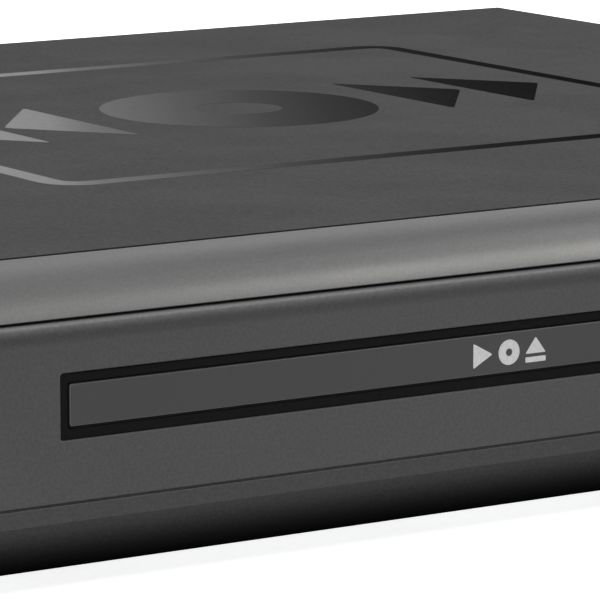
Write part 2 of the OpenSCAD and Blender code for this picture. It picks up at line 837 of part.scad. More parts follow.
// The belt's outline at a distance t outside the grooves: an arc around each pulley, joined by tangents
function belt_outline(t) = let (
    a = pulley_r + belt_gap + t,
    b = motor_pulley_r + belt_gap + t,
    tilt = acos((a - b) / belt_len),
    big_steps = 48,
    small_steps = 20
) concat(
    [for (i = [0:big_steps]) let (w = (180 - tilt) * (2 * i / big_steps - 1)) a * [cos(w), sin(w)]],
    [for (i = [0:small_steps]) let (w = 180 + tilt * (2 * i / small_steps - 1))
        b * [cos(w), sin(w)] - [belt_len, 0]]
);

module drive_belt() {
    color([0.06, 0.06, 0.06]) translate([pulley_x, pinion_y, belt_z - belt_t / 2])
        linear_extrude(height = belt_t) difference() {
            polygon(belt_outline(belt_t));
            polygon(belt_outline(0));
        }
}

module cam_slider() {
    color([0.8, 0.79, 0.75]) upright(cam_y, cam_t) difference() {
        translate([door_x - pin_x - cam_travel - 5, deck_z + 0.1])
            square([2 * pin_x + cam_travel + 10, cam_top - deck_z - 0.1]);
        for (s = [-1, 1]) translate([door_x + s * pin_x, pin_z]) cam_slot();
        translate([door_x - pin_x + 4, deck_z + 4]) square([2 * pin_x - cam_travel - 10, 7]);
    }
}

// A slanted slot from the raised end down to the lowered end
module cam_slot() {
    r = pin_r + cam_gap;
    side = r - 0.01;
    run = norm([cam_travel, cam_drop]);
    circle(r);
    translate([-cam_travel, -cam_drop]) circle(r);
    rotate([0, 0, 180 + atan2(cam_drop, cam_travel)]) translate([0, -side]) square([run, 2 * side]);
}

module drive_platform() {
    color([0.5, 0.51, 0.52]) difference() {
        union() {
            block([door_x - platform_left, platform_front, platform_z],
                [platform_left + platform_right, hinge_y - platform_front, platform_t]);
            block([door_x - platform_left, platform_front, platform_z],
                [platform_left + platform_right, 2, pin_z + 2.5 - platform_z]);
            for (s = [-1, 1]) bar_y(door_x + s * pin_x, pin_y - 1, pin_z, pin_len + 0.5, pin_r);
            bar_x(door_x - platform_left - pit - 2, hinge_y, hinge_z,
                platform_left + platform_right + 2 * pit + 4, hinge_r);
            for (s = [-1, 1], y = [rod_y0, rod_y1 - rod_block])
                block([door_x + s * rod_x - 3, y, platform_top - 0.1],
                    [6, rod_block, rod_z + 3 - platform_top]);
            block([door_x - screw_x - 3, rod_y1 - rod_block, platform_top - 0.1],
                [6, rod_block, rod_z + 3 - platform_top]);
            block([door_x - screw_x - 4, rod_y0 - rod_block, platform_top - 0.1],
                [7, 1.2, rod_z + 3 - platform_top]);
        }
        block([door_x - pickup_x - 1, pickup_y - 2, platform_z - 1],
            [2 * pickup_x + 2, rod_y1 - rod_block - 1 - pickup_y, platform_t + 2]);
        for (s = [-1, 1]) bar_y(door_x + s * rod_x, rod_y0 - 1, rod_z, rod_y1 - rod_y0 + 2, rod_r);
        bar_y(door_x - screw_x, rod_y0 - rod_block - 1, rod_z, 120, screw_r + run_gap);
        translate([door_x, disc_y, 0]) tube(platform_z - 1, platform_t + 2, 3);
    }
}

module guide_rods() {
    color([0.82, 0.83, 0.85]) for (s = [-1, 1])
        bar_y(door_x + s * rod_x, rod_y0, rod_z, rod_y1 - rod_y0, rod_r);
}

module lead_screw() {
    start = rod_y0 - rod_block - 2;
    count = 24;
    step = (rod_y1 - rod_block - rod_y0 - 4) / count;
    color([0.8, 0.8, 0.8]) difference() {
        bar_y(door_x - screw_x, start, rod_z, rod_y1 - start, screw_r);
        for (k = [0:count - 1])
            translate([door_x - screw_x, rod_y0 + 3 + k * step, rod_z]) rotate([-90, 0, 0]) difference() {
                cylinder(h = 0.8, r = screw_r + 1);
                translate([0, 0, -1]) cylinder(h = 3, r = screw_r - 0.35);
            }
    }
}

module feed_motor() {
    y1 = rod_y0 - rod_block - 0.1;
    color([0.7, 0.71, 0.72]) difference() {
        union() {
            bar_y(door_x - screw_x, y1 - feed_len, rod_z, feed_len, feed_r);
            block([door_x - screw_x - 4, y1 - feed_len + 2, platform_top],
                [8, feed_len - 4, rod_z - platform_top]);
        }
        bar_y(door_x - screw_x, y1 - 4, rod_z, 8, screw_r + run_gap);
    }
}

module spindle_motor() {
    color([0.68, 0.69, 0.7]) translate([door_x, disc_y, 0]) difference() {
        union() {
            tube(platform_top, spindle_top - 0.6 - platform_top, spindle_r);
            tube(platform_z, spindle_top - platform_z, 2.8);
        }
        tube(spindle_top - 6, 8, shaft_r + run_gap);
    }
}

module turntable() {
    color([0.1, 0.1, 0.1]) translate([door_x, disc_y, 0]) {
        tube(turntable_top - turntable_t, turntable_t, turntable_r);
        translate([0, 0, turntable_top]) cylinder(h = cone_h, r1 = cone_r, r2 = cone_r - 1.6);
        tube(spindle_top - 5, turntable_top - spindle_top + 4, shaft_r);
    }
}

module optical_pickup() {
    arm_z = rod_z - 2.4;
    color([0.35, 0.36, 0.38]) difference() {
        union() {
            block([door_x - pickup_x, pickup_y, pickup_z], [2 * pickup_x, pickup_len, pickup_top - pickup_z]);
            block([door_x - 12, pickup_y + 1.5, pickup_top - 0.1], [24, 15, lens_seat - pickup_top + 0.1]);
            for (y = [pickup_y + 1, pickup_y + pickup_len - arm_t - 1])
                block([door_x + pickup_x - 0.1, y, arm_z], [rod_x + 2.6 - pickup_x, arm_t, 4.8]);
            block([door_x - screw_x - 2.6, pickup_y + 12, arm_z], [screw_x + 2.7 - pickup_x, arm_t, 4.8]);
        }
        for (s = [-1, 1]) bar_y(door_x + s * rod_x, pickup_y - 1, rod_z, pickup_len + 2, rod_r + run_gap);
        bar_y(door_x - screw_x, pickup_y - 1, rod_z, pickup_len + 2, screw_r + run_gap);
        translate([door_x, lens_y, 0]) tube(lens_seat - 1.2, 4, lens_r + 1 + lens_gap);
    }
}

module objective_lens() {
    color([0.45, 0.5, 0.75]) translate([door_x, lens_y, 0]) {
        tube(lens_seat - 0.7, 1.2, lens_r + 1);
        tube(lens_seat + 0.4, lens_t - 0.4, lens_r);
    }
}

module clamp_bridge() {
    color([0.66, 0.67, 0.68]) difference() {
        union() {
            block([door_x - loader_x, disc_y - bridge_d / 2, bridge_z], [2 * loader_x, bridge_d, bridge_t]);
            for (y = [-bridge_d / 2, bridge_d / 2 - bridge_t])
                block([door_x - loader_x + 6, disc_y + y, bridge_z], [2 * loader_x - 12, bridge_t, 3.5]);
        }
        translate([door_x, disc_y, 0]) tube(bridge_z - 1, bridge_t + 2, clamper_body + 0.6);
        for (s = [-1, 1], y = [-9, 9]) translate([door_x + s * (loader_x - rail_t / 2), disc_y + y, 0])
            tube(bridge_z - 1, bridge_t + 2, 0.8);
    }
}

module clamper() {
    color([0.9, 0.9, 0.88]) translate([door_x, disc_y, 0]) difference() {
        union() {
            tube(clamper_z, bridge_z + bridge_t + 0.1 - clamper_z, clamper_body);
            tube(bridge_z + bridge_t + 0.1, clamper_rim, clamper_r);
        }
        tube(clamper_z - 1, 2.3, cone_r + 0.9);
        tube(clamper_z + 2, 10, cone_r + 0.9);
    }
}

module clamp_magnet() {
    color([0.3, 0.3, 0.31]) translate([door_x, disc_y, 0]) tube(clamper_z + 2, 2, cone_r + 0.7, 2);
}

module main_board() {
    color([0.1, 0.35, 0.15]) block([bay_x, main_y, board_z], [bay_w, main_d, board_t]);
}

module main_chips() {
    color([0.09, 0.09, 0.1]) {
        block([bay_mid - 12, main_y + 30, board_top], chip_size);
        block([bay_mid - 10, main_y + 55, board_top], memory_size);
        block([bay_mid + 14, main_y + 34, board_top], regulator_size);
        for (x = [-22, 6]) block([bay_mid + x, main_y + 8, board_top], plug_size);
    }
}

module power_board() {
    color([0.55, 0.4, 0.2]) block([bay_x, power_y, board_z], [bay_w, power_d, board_t]);
}

module transformer() {
    color([0.75, 0.65, 0.2]) {
        for (part = [[core_size, 0], [winding_size, winding_z]])
            block([bay_mid - 1 - part[0][0] / 2, power_y + 45 - part[0][1] / 2, board_top + part[1]],
                part[0]);
    }
}

module power_capacitors() {
    color([0.12, 0.12, 0.25]) {
        translate([bay_mid - 18, power_y + 70, board_top]) cylinder(h = big_cap_h, r = big_cap_r);
        for (i = [0:2]) translate([bay_mid - 20 + i * small_cap_pitch, power_y + 12, board_top])
            cylinder(h = small_cap_h, r = small_cap_r);
    }
}

module heat_sink() {
    color([0.6, 0.61, 0.62]) {
        block([bay_mid + 17, power_y + 22, board_top], sink_size);
        fin_at = [bay_mid + 16.9 + sink_size[0], power_y + 22, board_top + sink_size[2] - fin_size[2]];
        for (i = [0:3]) block(fin_at + [0, i * fin_pitch, 0], fin_size);
    }
}

module socket_board() {
    color([0.1, 0.35, 0.15]) block([socket_x, socket_y, board_z], [socket_w, socket_d, board_t]);
}

module front_board() {
    color([0.1, 0.35, 0.15]) block([bay_x, front_board_y, front_board_z], [bay_w, board_t, front_board_h]);
}

module key_switches() {
    color([0.75, 0.75, 0.72]) for (i = [0:3]) translate([button_x + i * button_pitch, 0, button_z]) {
        block([-3, front_board_y - switch_d + 0.6, -3], [6, switch_d - 0.6, 6]);
        bar_y(0, front_board_y - switch_d, 0, 0.7, 1.4);
    }
}

module display_module() {
    size = [window_w - 4, front_board_y - front_y - wall - 2, window_h - 1];
    color([0.15, 0.2, 0.2]) block([bay_mid - size[0] / 2, front_y + wall + 2, window_z - size[2] / 2], size);
}

module power_cable() {
    inset = 6;
    span = power_y - main_y - main_d + 2 * inset;
    color([0.8, 0.15, 0.1]) for (i = [0:4])
        translate([bay_mid - 24 + i * wire_pitch - wire_t / 2, main_y + main_d - inset, board_top]) {
            for (y = [0, span - wire_t]) block([0, y, 0], [wire_t, wire_t, wire_rise]);
            block([0, 0, wire_rise - wire_t], [wire_t, span, wire_t]);
        }
}

module front_ribbon() {
    color([0.88, 0.88, 0.85]) {
        block([bay_mid + 9, front_board_y + board_t, board_top + ribbon_rise],
            [ribbon_w, main_y + 16 - front_board_y - board_t, ribbon_t]);
        block([bay_mid + 9, main_y + 16 - ribbon_t, board_top], [ribbon_w, ribbon_t, ribbon_rise + ribbon_t]);
    }
}

module phono_housings() {
    color([0.85, 0.85, 0.85]) for (i = [0:phono_n - 1])
        translate([phono_x + i * phono_pitch, 0, 0]) difference() {
        union() {
            block([-phono_body / 2, panel_in - 12, board_top], [phono_body, 12 - 0.3, 13]);
            bar_y(0, panel_in - 0.4, phono_z, sheet + 0.4 + phono_flange, phono_r + 0.4);
            bar_y(0, rear_y + 0.2, phono_z, phono_flange - 0.2, phono_r + 1.4);
            bar_y(0, rear_y, phono_z, phono_len - 0.6, phono_r - 1.1);
        }
        bar_y(0, rear_y - 4, phono_z, 20, phono_hole);
    }
}

module phono_sleeves() {
    color([0.8, 0.8, 0.78]) for (i = [0:phono_n - 1])
        translate([phono_x + i * phono_pitch, rear_y + phono_flange, phono_z])
            rotate([-90, 0, 0]) difference() {
                cylinder(h = phono_len - phono_flange, r = phono_r);
                translate([0, 0, -1]) cylinder(h = phono_len + 2, r = phono_r - 0.5);
            }
}

module hdmi_socket() {
    inner_w = hdmi_w - 2 * hdmi_t;
    back = rear_y + hdmi_out - hdmi_d;
    tongue = [1.4, 2.6];
    color([0.78, 0.78, 0.8]) translate([hdmi_x, back, board_top]) difference() {
        block([-hdmi_w / 2, 0, 0], [hdmi_w, hdmi_d, hdmi_h + 0.1]);
        block([-inner_w / 2, hdmi_t, hdmi_t], [inner_w, hdmi_d, tongue[0]]);
        block([-inner_w / 2, hdmi_d - 1.2, hdmi_t], [inner_w, 4, hdmi_h - 0.7]);
        block([-inner_w / 2, hdmi_t, hdmi_t + tongue[1]], [inner_w, hdmi_d, hdmi_h - 0.7 - tongue[1]]);
    }
}

module mains_inlet() {
    color([0.06, 0.06, 0.06]) translate([inlet_x, 0, inlet_z]) {
        difference() {
            union() {
                upright(rear_y - inlet_d, inlet_d + 0.1) inlet_outline(inlet_t);
                upright(rear_y + 0.05, inlet_flange) inlet_outline(inlet_t + 1.4);
            }
            upright(rear_y - inlet_d + 2, inlet_d + 4) inlet_outline(0);
        }
        for (s = [-1, 1]) bar_y(s * inlet_pin_x, rear_y - inlet_d + 1, 0, inlet_d - 2.5, inlet_pin_r);
        block([-5, rear_y - inlet_d + 1, board_top - inlet_z],
            [10, inlet_d - 4, inlet_z - board_top - inlet_r - inlet_t + 0.6]);
    }
}

top_cover();
bottom_chassis();
rear_panel();
front_panel();
trim_strip();
lower_trim();
tray_frame();
display_window();
standby_light();
power_button();
open_close_button();
play_button();
stop_button();
feet();
cover_screws();
rear_screws();
loader_frame();
loader_screws();
tray();
tray_door();
tray_pinion();
pulley_gear();
motor_pulley();
motor_shaft();
drive_belt();
loader_motor();
cam_slider();
drive_platform();
spindle_motor();
turntable();
guide_rods();
lead_screw();
feed_motor();
optical_pickup();
objective_lens();
clamp_bridge();
clamper();
clamp_magnet();
main_board();
main_chips();
power_board();
transformer();
power_capacitors();
heat_sink();
socket_board();
front_board();
key_switches();
display_module();
power_cable();
front_ribbon();
phono_housings();
phono_sleeves();
hdmi_socket();
mains_inlet();
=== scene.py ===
import json
import math

import bmesh
import bpy
import numpy as np
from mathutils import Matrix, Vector

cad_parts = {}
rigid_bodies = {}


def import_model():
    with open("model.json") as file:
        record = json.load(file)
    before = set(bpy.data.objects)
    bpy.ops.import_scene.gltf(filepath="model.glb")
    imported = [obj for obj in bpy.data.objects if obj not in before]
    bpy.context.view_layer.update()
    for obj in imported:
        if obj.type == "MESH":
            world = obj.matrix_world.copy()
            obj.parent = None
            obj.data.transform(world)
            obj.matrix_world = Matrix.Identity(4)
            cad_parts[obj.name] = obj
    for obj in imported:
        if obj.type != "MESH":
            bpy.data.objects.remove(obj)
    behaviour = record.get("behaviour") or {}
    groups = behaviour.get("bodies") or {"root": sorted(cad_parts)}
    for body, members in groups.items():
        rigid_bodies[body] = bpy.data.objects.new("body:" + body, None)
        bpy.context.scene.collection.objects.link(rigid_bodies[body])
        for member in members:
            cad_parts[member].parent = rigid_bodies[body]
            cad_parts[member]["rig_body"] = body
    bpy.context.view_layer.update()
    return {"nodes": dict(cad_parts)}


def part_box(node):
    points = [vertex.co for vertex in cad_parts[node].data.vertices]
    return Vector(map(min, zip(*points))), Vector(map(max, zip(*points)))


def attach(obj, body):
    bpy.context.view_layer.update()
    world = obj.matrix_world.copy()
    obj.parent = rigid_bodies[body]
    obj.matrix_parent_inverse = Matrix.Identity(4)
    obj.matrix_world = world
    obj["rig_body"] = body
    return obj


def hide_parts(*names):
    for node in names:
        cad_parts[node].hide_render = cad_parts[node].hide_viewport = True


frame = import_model()

# Lengths are in millimetres here and become metres as a mesh is made
mm = 0.001
inkHeight = 0.03        # how far printed ink stands on its face
bodyOf = {node: obj["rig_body"] for node, obj in frame["nodes"].items()}


# The two corners of a CAD node, in millimetres
def corners(node):
    low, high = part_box(node)
    return np.array(low) / mm, np.array(high) / mm


# The middle of a CAD node as seen from the front: across and up
def middleOf(node):
    low, high = corners(node)
    return (low[[0, 2]] + high[[0, 2]]) / 2


coverLow, coverHigh = corners("top_cover")
panelLow, panelHigh = corners("front_panel")
stripLow = corners("trim_strip")[0]
chinLow, chinHigh = corners("lower_trim")
doorLow, doorHigh = corners("tray_door")
frameLow, frameHigh = corners("tray_frame")
windowLow, windowHigh = corners("display_window")
topZ = coverHigh[2]
halfWidth = coverHigh[0]
frontY = panelLow[1]
wall = 2        # thickness of the front's plastic shells
snug = 0.05     # clearance between pieces that fit into the front

# Outlines are arrays of (u, v) points, run counter-clockwise


# Points on a circle from one angle to another, in degrees
def arc(centre, radius, start, stop, steps):
    angle = np.radians(np.linspace(start, stop, steps + 1))
    return np.stack([centre[0] + radius * np.cos(angle), centre[1] + radius * np.sin(angle)], 1)


# A rectangle with round corners: a quarter circle around each of its four inner corners
def roundRect(width, height, radius, centre=(0, 0), steps=8):
    quarter = np.repeat(np.arange(4), steps + 1)
    angle = np.tile(np.linspace(0, np.pi / 2, steps + 1), 4) + quarter * np.pi / 2
    sideX = np.array([1, -1, -1, 1])[quarter]
    sideY = np.array([1, 1, -1, -1])[quarter]
    x = centre[0] + sideX * (width / 2 - radius) + radius * np.cos(angle)
    y = centre[1] + sideY * (height / 2 - radius) + radius * np.sin(angle)
    return np.stack([x, y], 1)


# A plain rectangle between two pairs of levels
def rectangle(left, right, low, high):
    return [(left, low), (right, low), (right, high), (left, high)]


# A polygon with round corners: each corner is a short quadratic curve between points on its two sides
def rounded(points, radius, steps=5):
    points = np.asarray(points, float)
    before = np.roll(points, 1, 0) - points
    after = np.roll(points, -1, 0) - points
    before /= np.linalg.norm(before, axis=1, keepdims=True)
    after /= np.linalg.norm(after, axis=1, keepdims=True)
    t = np.linspace(0, 1, steps + 1)[None, :, None]
    first, last = points + radius * before, points + radius * after
    curve = (1 - t) ** 2 * first[:, None] + 2 * t * (1 - t) * points[:, None] + t ** 2 * last[:, None]
    return curve.reshape(-1, 2)


# Solids are pairs of (points, faces)


# An outline carried along an axis: a ring of points per station, walls between them, a face at each end
def carried(outline, stations, axis):
    outline, stations = np.asarray(outline, float), np.asarray(stations, float)
    rings, count = len(stations), len(outline)
    across = [i for i in range(3) if i != axis]
    points = np.empty((rings, count, 3))
    points[..., axis] = stations[:, None]
    points[..., across] = outline[None]
    ring, step = np.meshgrid(np.arange(rings - 1), np.arange(count), indexing="ij")
    here, there = ring * count + step, ring * count + (step + 1) % count
    walls = np.stack([here, there, there + count, here + count], -1).reshape(-1, 4).tolist()
    ends = [list(range(count)), list(range((rings - 1) * count, rings * count))]
    return points.reshape(-1, 3), walls + ends


# A flat ring between two outlines of equal count, from low to high along an axis
def ringed(outer, inner, low, high, axis):
    across = [i for i in range(3) if i != axis]
    section = [(outer, low), (outer, high), (inner, high), (inner, low)]
    points = np.empty((len(outer), 4, 3))
    for k, (outline, level) in enumerate(section):
        points[:, k, axis] = level
        points[:, k, across] = outline
    step, side = np.meshgrid(np.arange(len(outer)), np.arange(4), indexing="ij")
    here, there = step * 4 + side, step * 4 + (side + 1) % 4
    ahead = 4 * len(outer)
    faces = np.stack([here, there, (there + 4) % ahead, (here + 4) % ahead], -1).reshape(-1, 4)
    return points.reshape(-1, 3), faces.tolist()


# A half section of (radius, height) points turned round an upright line
def turned(section, centre, steps=48):
    section = np.asarray(section, float)
    angle = np.linspace(0, 2 * np.pi, steps, endpoint=False)[:, None]
    points = np.empty((steps, len(section), 3))
    points[..., 0] = centre[0] + section[:, 0] * np.cos(angle)
    points[..., 1] = centre[1] + section[:, 0] * np.sin(angle)
    points[..., 2] = section[:, 1]
    turn, step = np.meshgrid(np.arange(steps), np.arange(len(section) - 1), indexing="ij")
    here, there = turn * len(section) + step, (turn + 1) % steps * len(section) + step
    faces = np.stack([here, there, there + 1, here + 1], -1).reshape(-1, 4)
    return points.reshape(-1, 3), faces.tolist()


# Several solids as one pair of points and faces
def together(solids):
    points, faces, base = [], [], 0
    for part, loops in solids:
        points.append(part)
        faces += [[base + i for i in loop] for loop in loops]
        base += len(part)
    return np.concatenate(points), faces


# Puts a solid into a mesh at the origin, merged, with its faces turned outwards
def newPiece(name, solid):
    points, faces = solid
    mesh = bpy.data.meshes.new(name)
    mesh.from_pydata((np.asarray(points) * mm).tolist(), [], faces)
    return addPiece(name, mesh, recalculate=True)


# Links a mesh as an object, with doubles merged and smooth shading
def addPiece(name, mesh, recalculate=False, flatten=False):
    work = bmesh.new()
    work.from_mesh(mesh)
    bmesh.ops.remove_doubles(work, verts=work.verts, dist=2e-6)
    if flatten:
        bmesh.ops.dissolve_limit(work, angle_limit=math.radians(0.4), verts=work.verts, edges=work.edges)
    if recalculate:
        bmesh.ops.recalc_face_normals(work, faces=work.faces)
    work.to_mesh(mesh)
    work.free()
    shade(mesh)
    obj = bpy.data.objects.new(name, mesh)
    bpy.context.scene.collection.objects.link(obj)
    return obj


# Smooth shading, apart from edges that turn by more than an angle
def shade(mesh, angle=30):
    mesh.shade_smooth()
    mesh.set_sharp_from_angle(angle=math.radians(angle))


# Applies a boolean between a piece and another one, which is then deleted
def combine(obj, other, operation):
    modifier = obj.modifiers.new("combine", "BOOLEAN")
    modifier.operation = operation
    modifier.solver = "EXACT"
    modifier.object = other
    view = bpy.context.evaluated_depsgraph_get()
    made = bpy.data.meshes.new_from_object(obj.evaluated_get(view))
    obj.modifiers.clear()
    obj.data = made
    bpy.data.objects.remove(other)
    shade(made)
    return obj


# Rounds the sharp edges of a piece by a width in millimetres
def soften(obj, width, segments=2, angle=35):
    bevel = obj.modifiers.new("soften", "BEVEL")
    bevel.width = width * mm
    bevel.segments = segments
    bevel.limit_method = "ANGLE"
    bevel.angle_limit = math.radians(angle)
    bevel.use_clamp_overlap = False
    bevel.harden_normals = True
    bevel.miter_outer = "MITER_ARC"
    return obj


# Gives a piece its material and body, and lets it stand for its CAD nodes
def place(obj, material, *nodes, slot=None, body=None):
    obj.data.materials.clear()
    obj.data.materials.append(material)
    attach(obj, body or bodyOf[nodes[0]])
    if nodes:
        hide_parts(*nodes)
    return obj


# Nodes whose flat faces wind around holes and keep their triangles, so that no hole closes
pierced = {"loader_frame", "drive_platform", "optical_pickup", "feed_motor", "transformer", "hdmi_socket"}


# A CAD node taken over as a merged copy with softened edges
def dress(node, material, width=0.15, segments=2, shape=None):
    mesh = frame["nodes"][node].data.copy()
    if shape:
        points = np.empty(len(mesh.vertices) * 3)
        mesh.vertices.foreach_get("co", points)
        mesh.vertices.foreach_set("co", (shape(points.reshape(-1, 3) / mm) * mm).ravel())
    if "custom_normal" in mesh.attributes:
        mesh.attributes.remove(mesh.attributes["custom_normal"])
    obj = addPiece(node + "_form", mesh, flatten=node not in pierced)
    soften(obj, width, segments)
    return place(obj, material, node)


# A noise of a given scale, spread to run from 0 to 1
def spreadNoise(tree, vector, scale, detail=3.0, low=0.35, high=0.65):
    noise = tree.nodes.new("ShaderNodeTexNoise")
    noise.inputs["Scale"].default_value = scale
    noise.inputs["Detail"].default_value = detail
    spread = tree.nodes.new("ShaderNodeMapRange")
    spread.interpolation_type = "SMOOTHSTEP"
    spread.inputs["From Min"].default_value = low
    spread.inputs["From Max"].default_value = high
    tree.links.new(vector, noise.inputs["Vector"])
    tree.links.new(noise.outputs["Fac"], spread.inputs["Value"])
    return spread.outputs["Result"]


# Object coordinates, turned and stretched
def objectPlace(tree, stretch=(1, 1, 1), turn=(0, 0, 0)):
    coordinate = tree.nodes.new("ShaderNodeTexCoord")
    mapping = tree.nodes.new("ShaderNodeMapping")
    mapping.inputs["Scale"].default_value = stretch
    mapping.inputs["Rotation"].default_value = turn
    tree.links.new(coordinate.outputs["Object"], mapping.inputs["Vector"])
    return mapping.outputs["Vector"]


# A value moved from one range to another
def ranged(tree, value, low, high, fromLow=0.0, fromHigh=1.0):
    node = tree.nodes.new("ShaderNodeMapRange")
    for name, level in (("From Min", fromLow), ("From Max", fromHigh), ("To Min", low), ("To Max", high)):
        node.inputs[name].default_value = level
    tree.links.new(value, node.inputs["Value"])
    return node.outputs["Result"]


# Two colours blended by a factor, each of them a socket or a fixed value
def mixed(tree, factor, first, second, blend="MIX"):
    node = tree.nodes.new("ShaderNodeMix")
    node.data_type = "RGBA"
    node.blend_type = blend
    for socket, value in ((node.inputs[0], factor), (node.inputs[6], first), (node.inputs[7], second)):
        if isinstance(value, bpy.types.NodeSocket):
            tree.links.new(value, socket)
        else:
            socket.default_value = value if np.isscalar(value) else (*value, 1)
    return node.outputs[2]


# A colour by the place along one axis: stops of (share, colour) between two levels in millimetres
def toneRamp(tree, where, axis, low, high, stops, step="LINEAR"):
    split = tree.nodes.new("ShaderNodeSeparateXYZ")
    tree.links.new(where, split.inputs[0])
    ramp = tree.nodes.new("ShaderNodeValToRGB")
    ramp.color_ramp.interpolation = step
    tree.links.new(ranged(tree, split.outputs[axis], 0, 1, low * mm, high * mm), ramp.inputs["Fac"])
    elements = ramp.color_ramp.elements
    for k, (share, colour) in enumerate(stops):
        element = elements[k] if k < 2 else elements.new(share)
        element.position = share
        element.color = (*colour, 1)
    return ramp.outputs["Color"]


# A finish: colour with fine grain and broad clouds, uneven gloss, and a bump from the grain.
# A base function gives a colour by place, either a part's own colours or painted light and shade, which
# then takes the clouds' part.
def finish(name, colour, rough=0.5, grain=1500, speckle=0.08, cloud=25, drift=0.04, bump=0.006,
           metallic=0.0, specular=0.3, coat=0.0, stretch=(1, 1, 1), uneven=0.06, base=None):
    material = bpy.data.materials.new(name)
    material.use_nodes = True
    tree = material.node_tree
    shader = tree.nodes["Principled BSDF"]
    shader.inputs["Metallic"].default_value = metallic
    shader.inputs["Specular IOR Level"].default_value = specular
    shader.inputs["Coat Weight"].default_value = coat
    shader.inputs["Coat Roughness"].default_value = 0.08
    where = objectPlace(tree, stretch)
    fine = spreadNoise(tree, where, grain)
    broad = spreadNoise(tree, where, cloud, detail=2.0)
    low, high = np.array(colour) * (1 - speckle), np.array(colour) * (1 + speckle)
    if base:
        grains = mixed(tree, fine, (1 - speckle,) * 3, (1 + speckle,) * 3)
        tone = mixed(tree, 1, base(tree), grains, "MULTIPLY")
    else:
        light = mixed(tree, fine, low, high)
        dark = mixed(tree, fine, low * (1 - drift), high * (1 - drift))
        tone = mixed(tree, broad, light, dark)
    tree.links.new(tone, shader.inputs["Base Color"])
    tree.links.new(ranged(tree, broad, rough - uneven, rough + uneven), shader.inputs["Roughness"])
    if bump:
        relief = tree.nodes.new("ShaderNodeBump")
        relief.inputs["Strength"].default_value = 1
        relief.inputs["Distance"].default_value = bump * mm
        tree.links.new(fine, relief.inputs["Height"])
        tree.links.new(relief.outputs["Normal"], shader.inputs["Normal"])
    return material


shot = {
    "at": (-373.7, -491.1, 93.2),   # from the middle of the cover's front edge, in millimetres
    "turn": 32.99, "down": 9.92, "roll": -0.04,   # degrees
    "lens": 282.0, "sensor": 36.0,      # millimetres
    "clip": (0.01, 50),     # metres
}
camera = bpy.data.cameras.new("camera")
camera.lens = shot["lens"]
camera.sensor_width = shot["sensor"]
camera.clip_start, camera.clip_end = shot["clip"]
viewer = bpy.data.objects.new("viewer", camera)
viewer.location = (np.array(shot["at"]) + (0, coverLow[1], topZ)) * mm
pitch, roll, yaw = math.radians(90 - shot["down"]), math.radians(shot["roll"]), -math.radians(shot["turn"])
viewer.rotation_euler = (pitch, roll, yaw)
bpy.context.scene.collection.objects.link(viewer)
bpy.context.scene.camera = viewer

studio = {
    "world": 0.80,          # even light from all around
    "horizon": 1.0, "zenith": 0.04,   # what mirrors and the camera see of the world
    "skySpan": (0.5, 0.85),     # sines of the angles up between which it falls from horizon to zenith
    "floorHalf": 12.0,      # half the floor's width, in metres
    "floorBounce": 0.04, "floorLook": 0.85, "floorGlow": 0.73,      # its colour for light and for the eye
    "warm": (1.0, 0.985, 0.91),      # tint of the light that glances off the strip
    # name: place, size across and up (metres), radiance
    "softboxes": {
        "overhead": ((0.1, 0.25, 1.5), (1.3, 1.3), 1.13),
        "key": ((-0.62, -1.05, 1.30), (1.0, 0.8), 6.4),
        "frontRight": ((0.85, -0.85, 0.80), (0.4, 0.4), 5.2),
        "side": ((0.75, -0.35, 0.80), (0.35, 0.45), 1.65),
        "rear": ((0.75, 0.35, 0.95), (0.4, 0.4), 0.5),
        "rearLeft": ((-1.1, 1.0, 0.8), (0.7, 0.6), 1.5),
    },
}


# An area lamp that faces the object, given by what it radiates per unit of area
def softbox(name, at, size, radiance):
    lamp = bpy.data.lights.new(name, "AREA")
    lamp.shape = "RECTANGLE"
    lamp.size, lamp.size_y = size
    lamp.energy = radiance * size[0] * size[1] * math.pi
    obj = bpy.data.objects.new(name, lamp)
    obj.location = at
    obj.rotation_euler = (-Vector(at)).to_track_quat("-Z", "Y").to_euler()
    obj.visible_camera = False
    bpy.context.scene.collection.objects.link(obj)


# 1 for rays that show the background: from the camera, mirrors and glass
def shownRay(tree):
    path = tree.nodes.new("ShaderNodeLightPath")
    total = None
    for name in ("Is Camera Ray", "Is Glossy Ray", "Is Transmission Ray"):
        if total is None:
            total = path.outputs[name]
            continue
        node = tree.nodes.new("ShaderNodeMath")
        node.operation = "MAXIMUM"
        tree.links.new(total, node.inputs[0])
        tree.links.new(path.outputs[name], node.inputs[1])
        total = node.outputs[0]
    return total


# The world: even light on the object, and for rays that show it a sky that darkens from the horizon up
def makeWorld():
    world = bpy.data.worlds.new("studio")
    world.use_nodes = True
    bpy.context.scene.world = world
    tree = world.node_tree
    backdrop = tree.nodes["Background"]
    backdrop.inputs["Color"].default_value = (1, 1, 1, 1)
    coordinate = tree.nodes.new("ShaderNodeTexCoord")
    split = tree.nodes.new("ShaderNodeSeparateXYZ")
    tree.links.new(coordinate.outputs["Generated"], split.inputs[0])
    sky = ranged(tree, split.outputs["Z"], studio["horizon"], studio["zenith"], *studio["skySpan"])
    level = tree.nodes.new("ShaderNodeMix")
    level.data_type = "FLOAT"
    level.inputs[2].default_value = studio["world"]
    tree.links.new(shownRay(tree), level.inputs[0])
    tree.links.new(sky, level.inputs[3])
    tree.links.new(level.outputs[0], backdrop.inputs["Strength"])


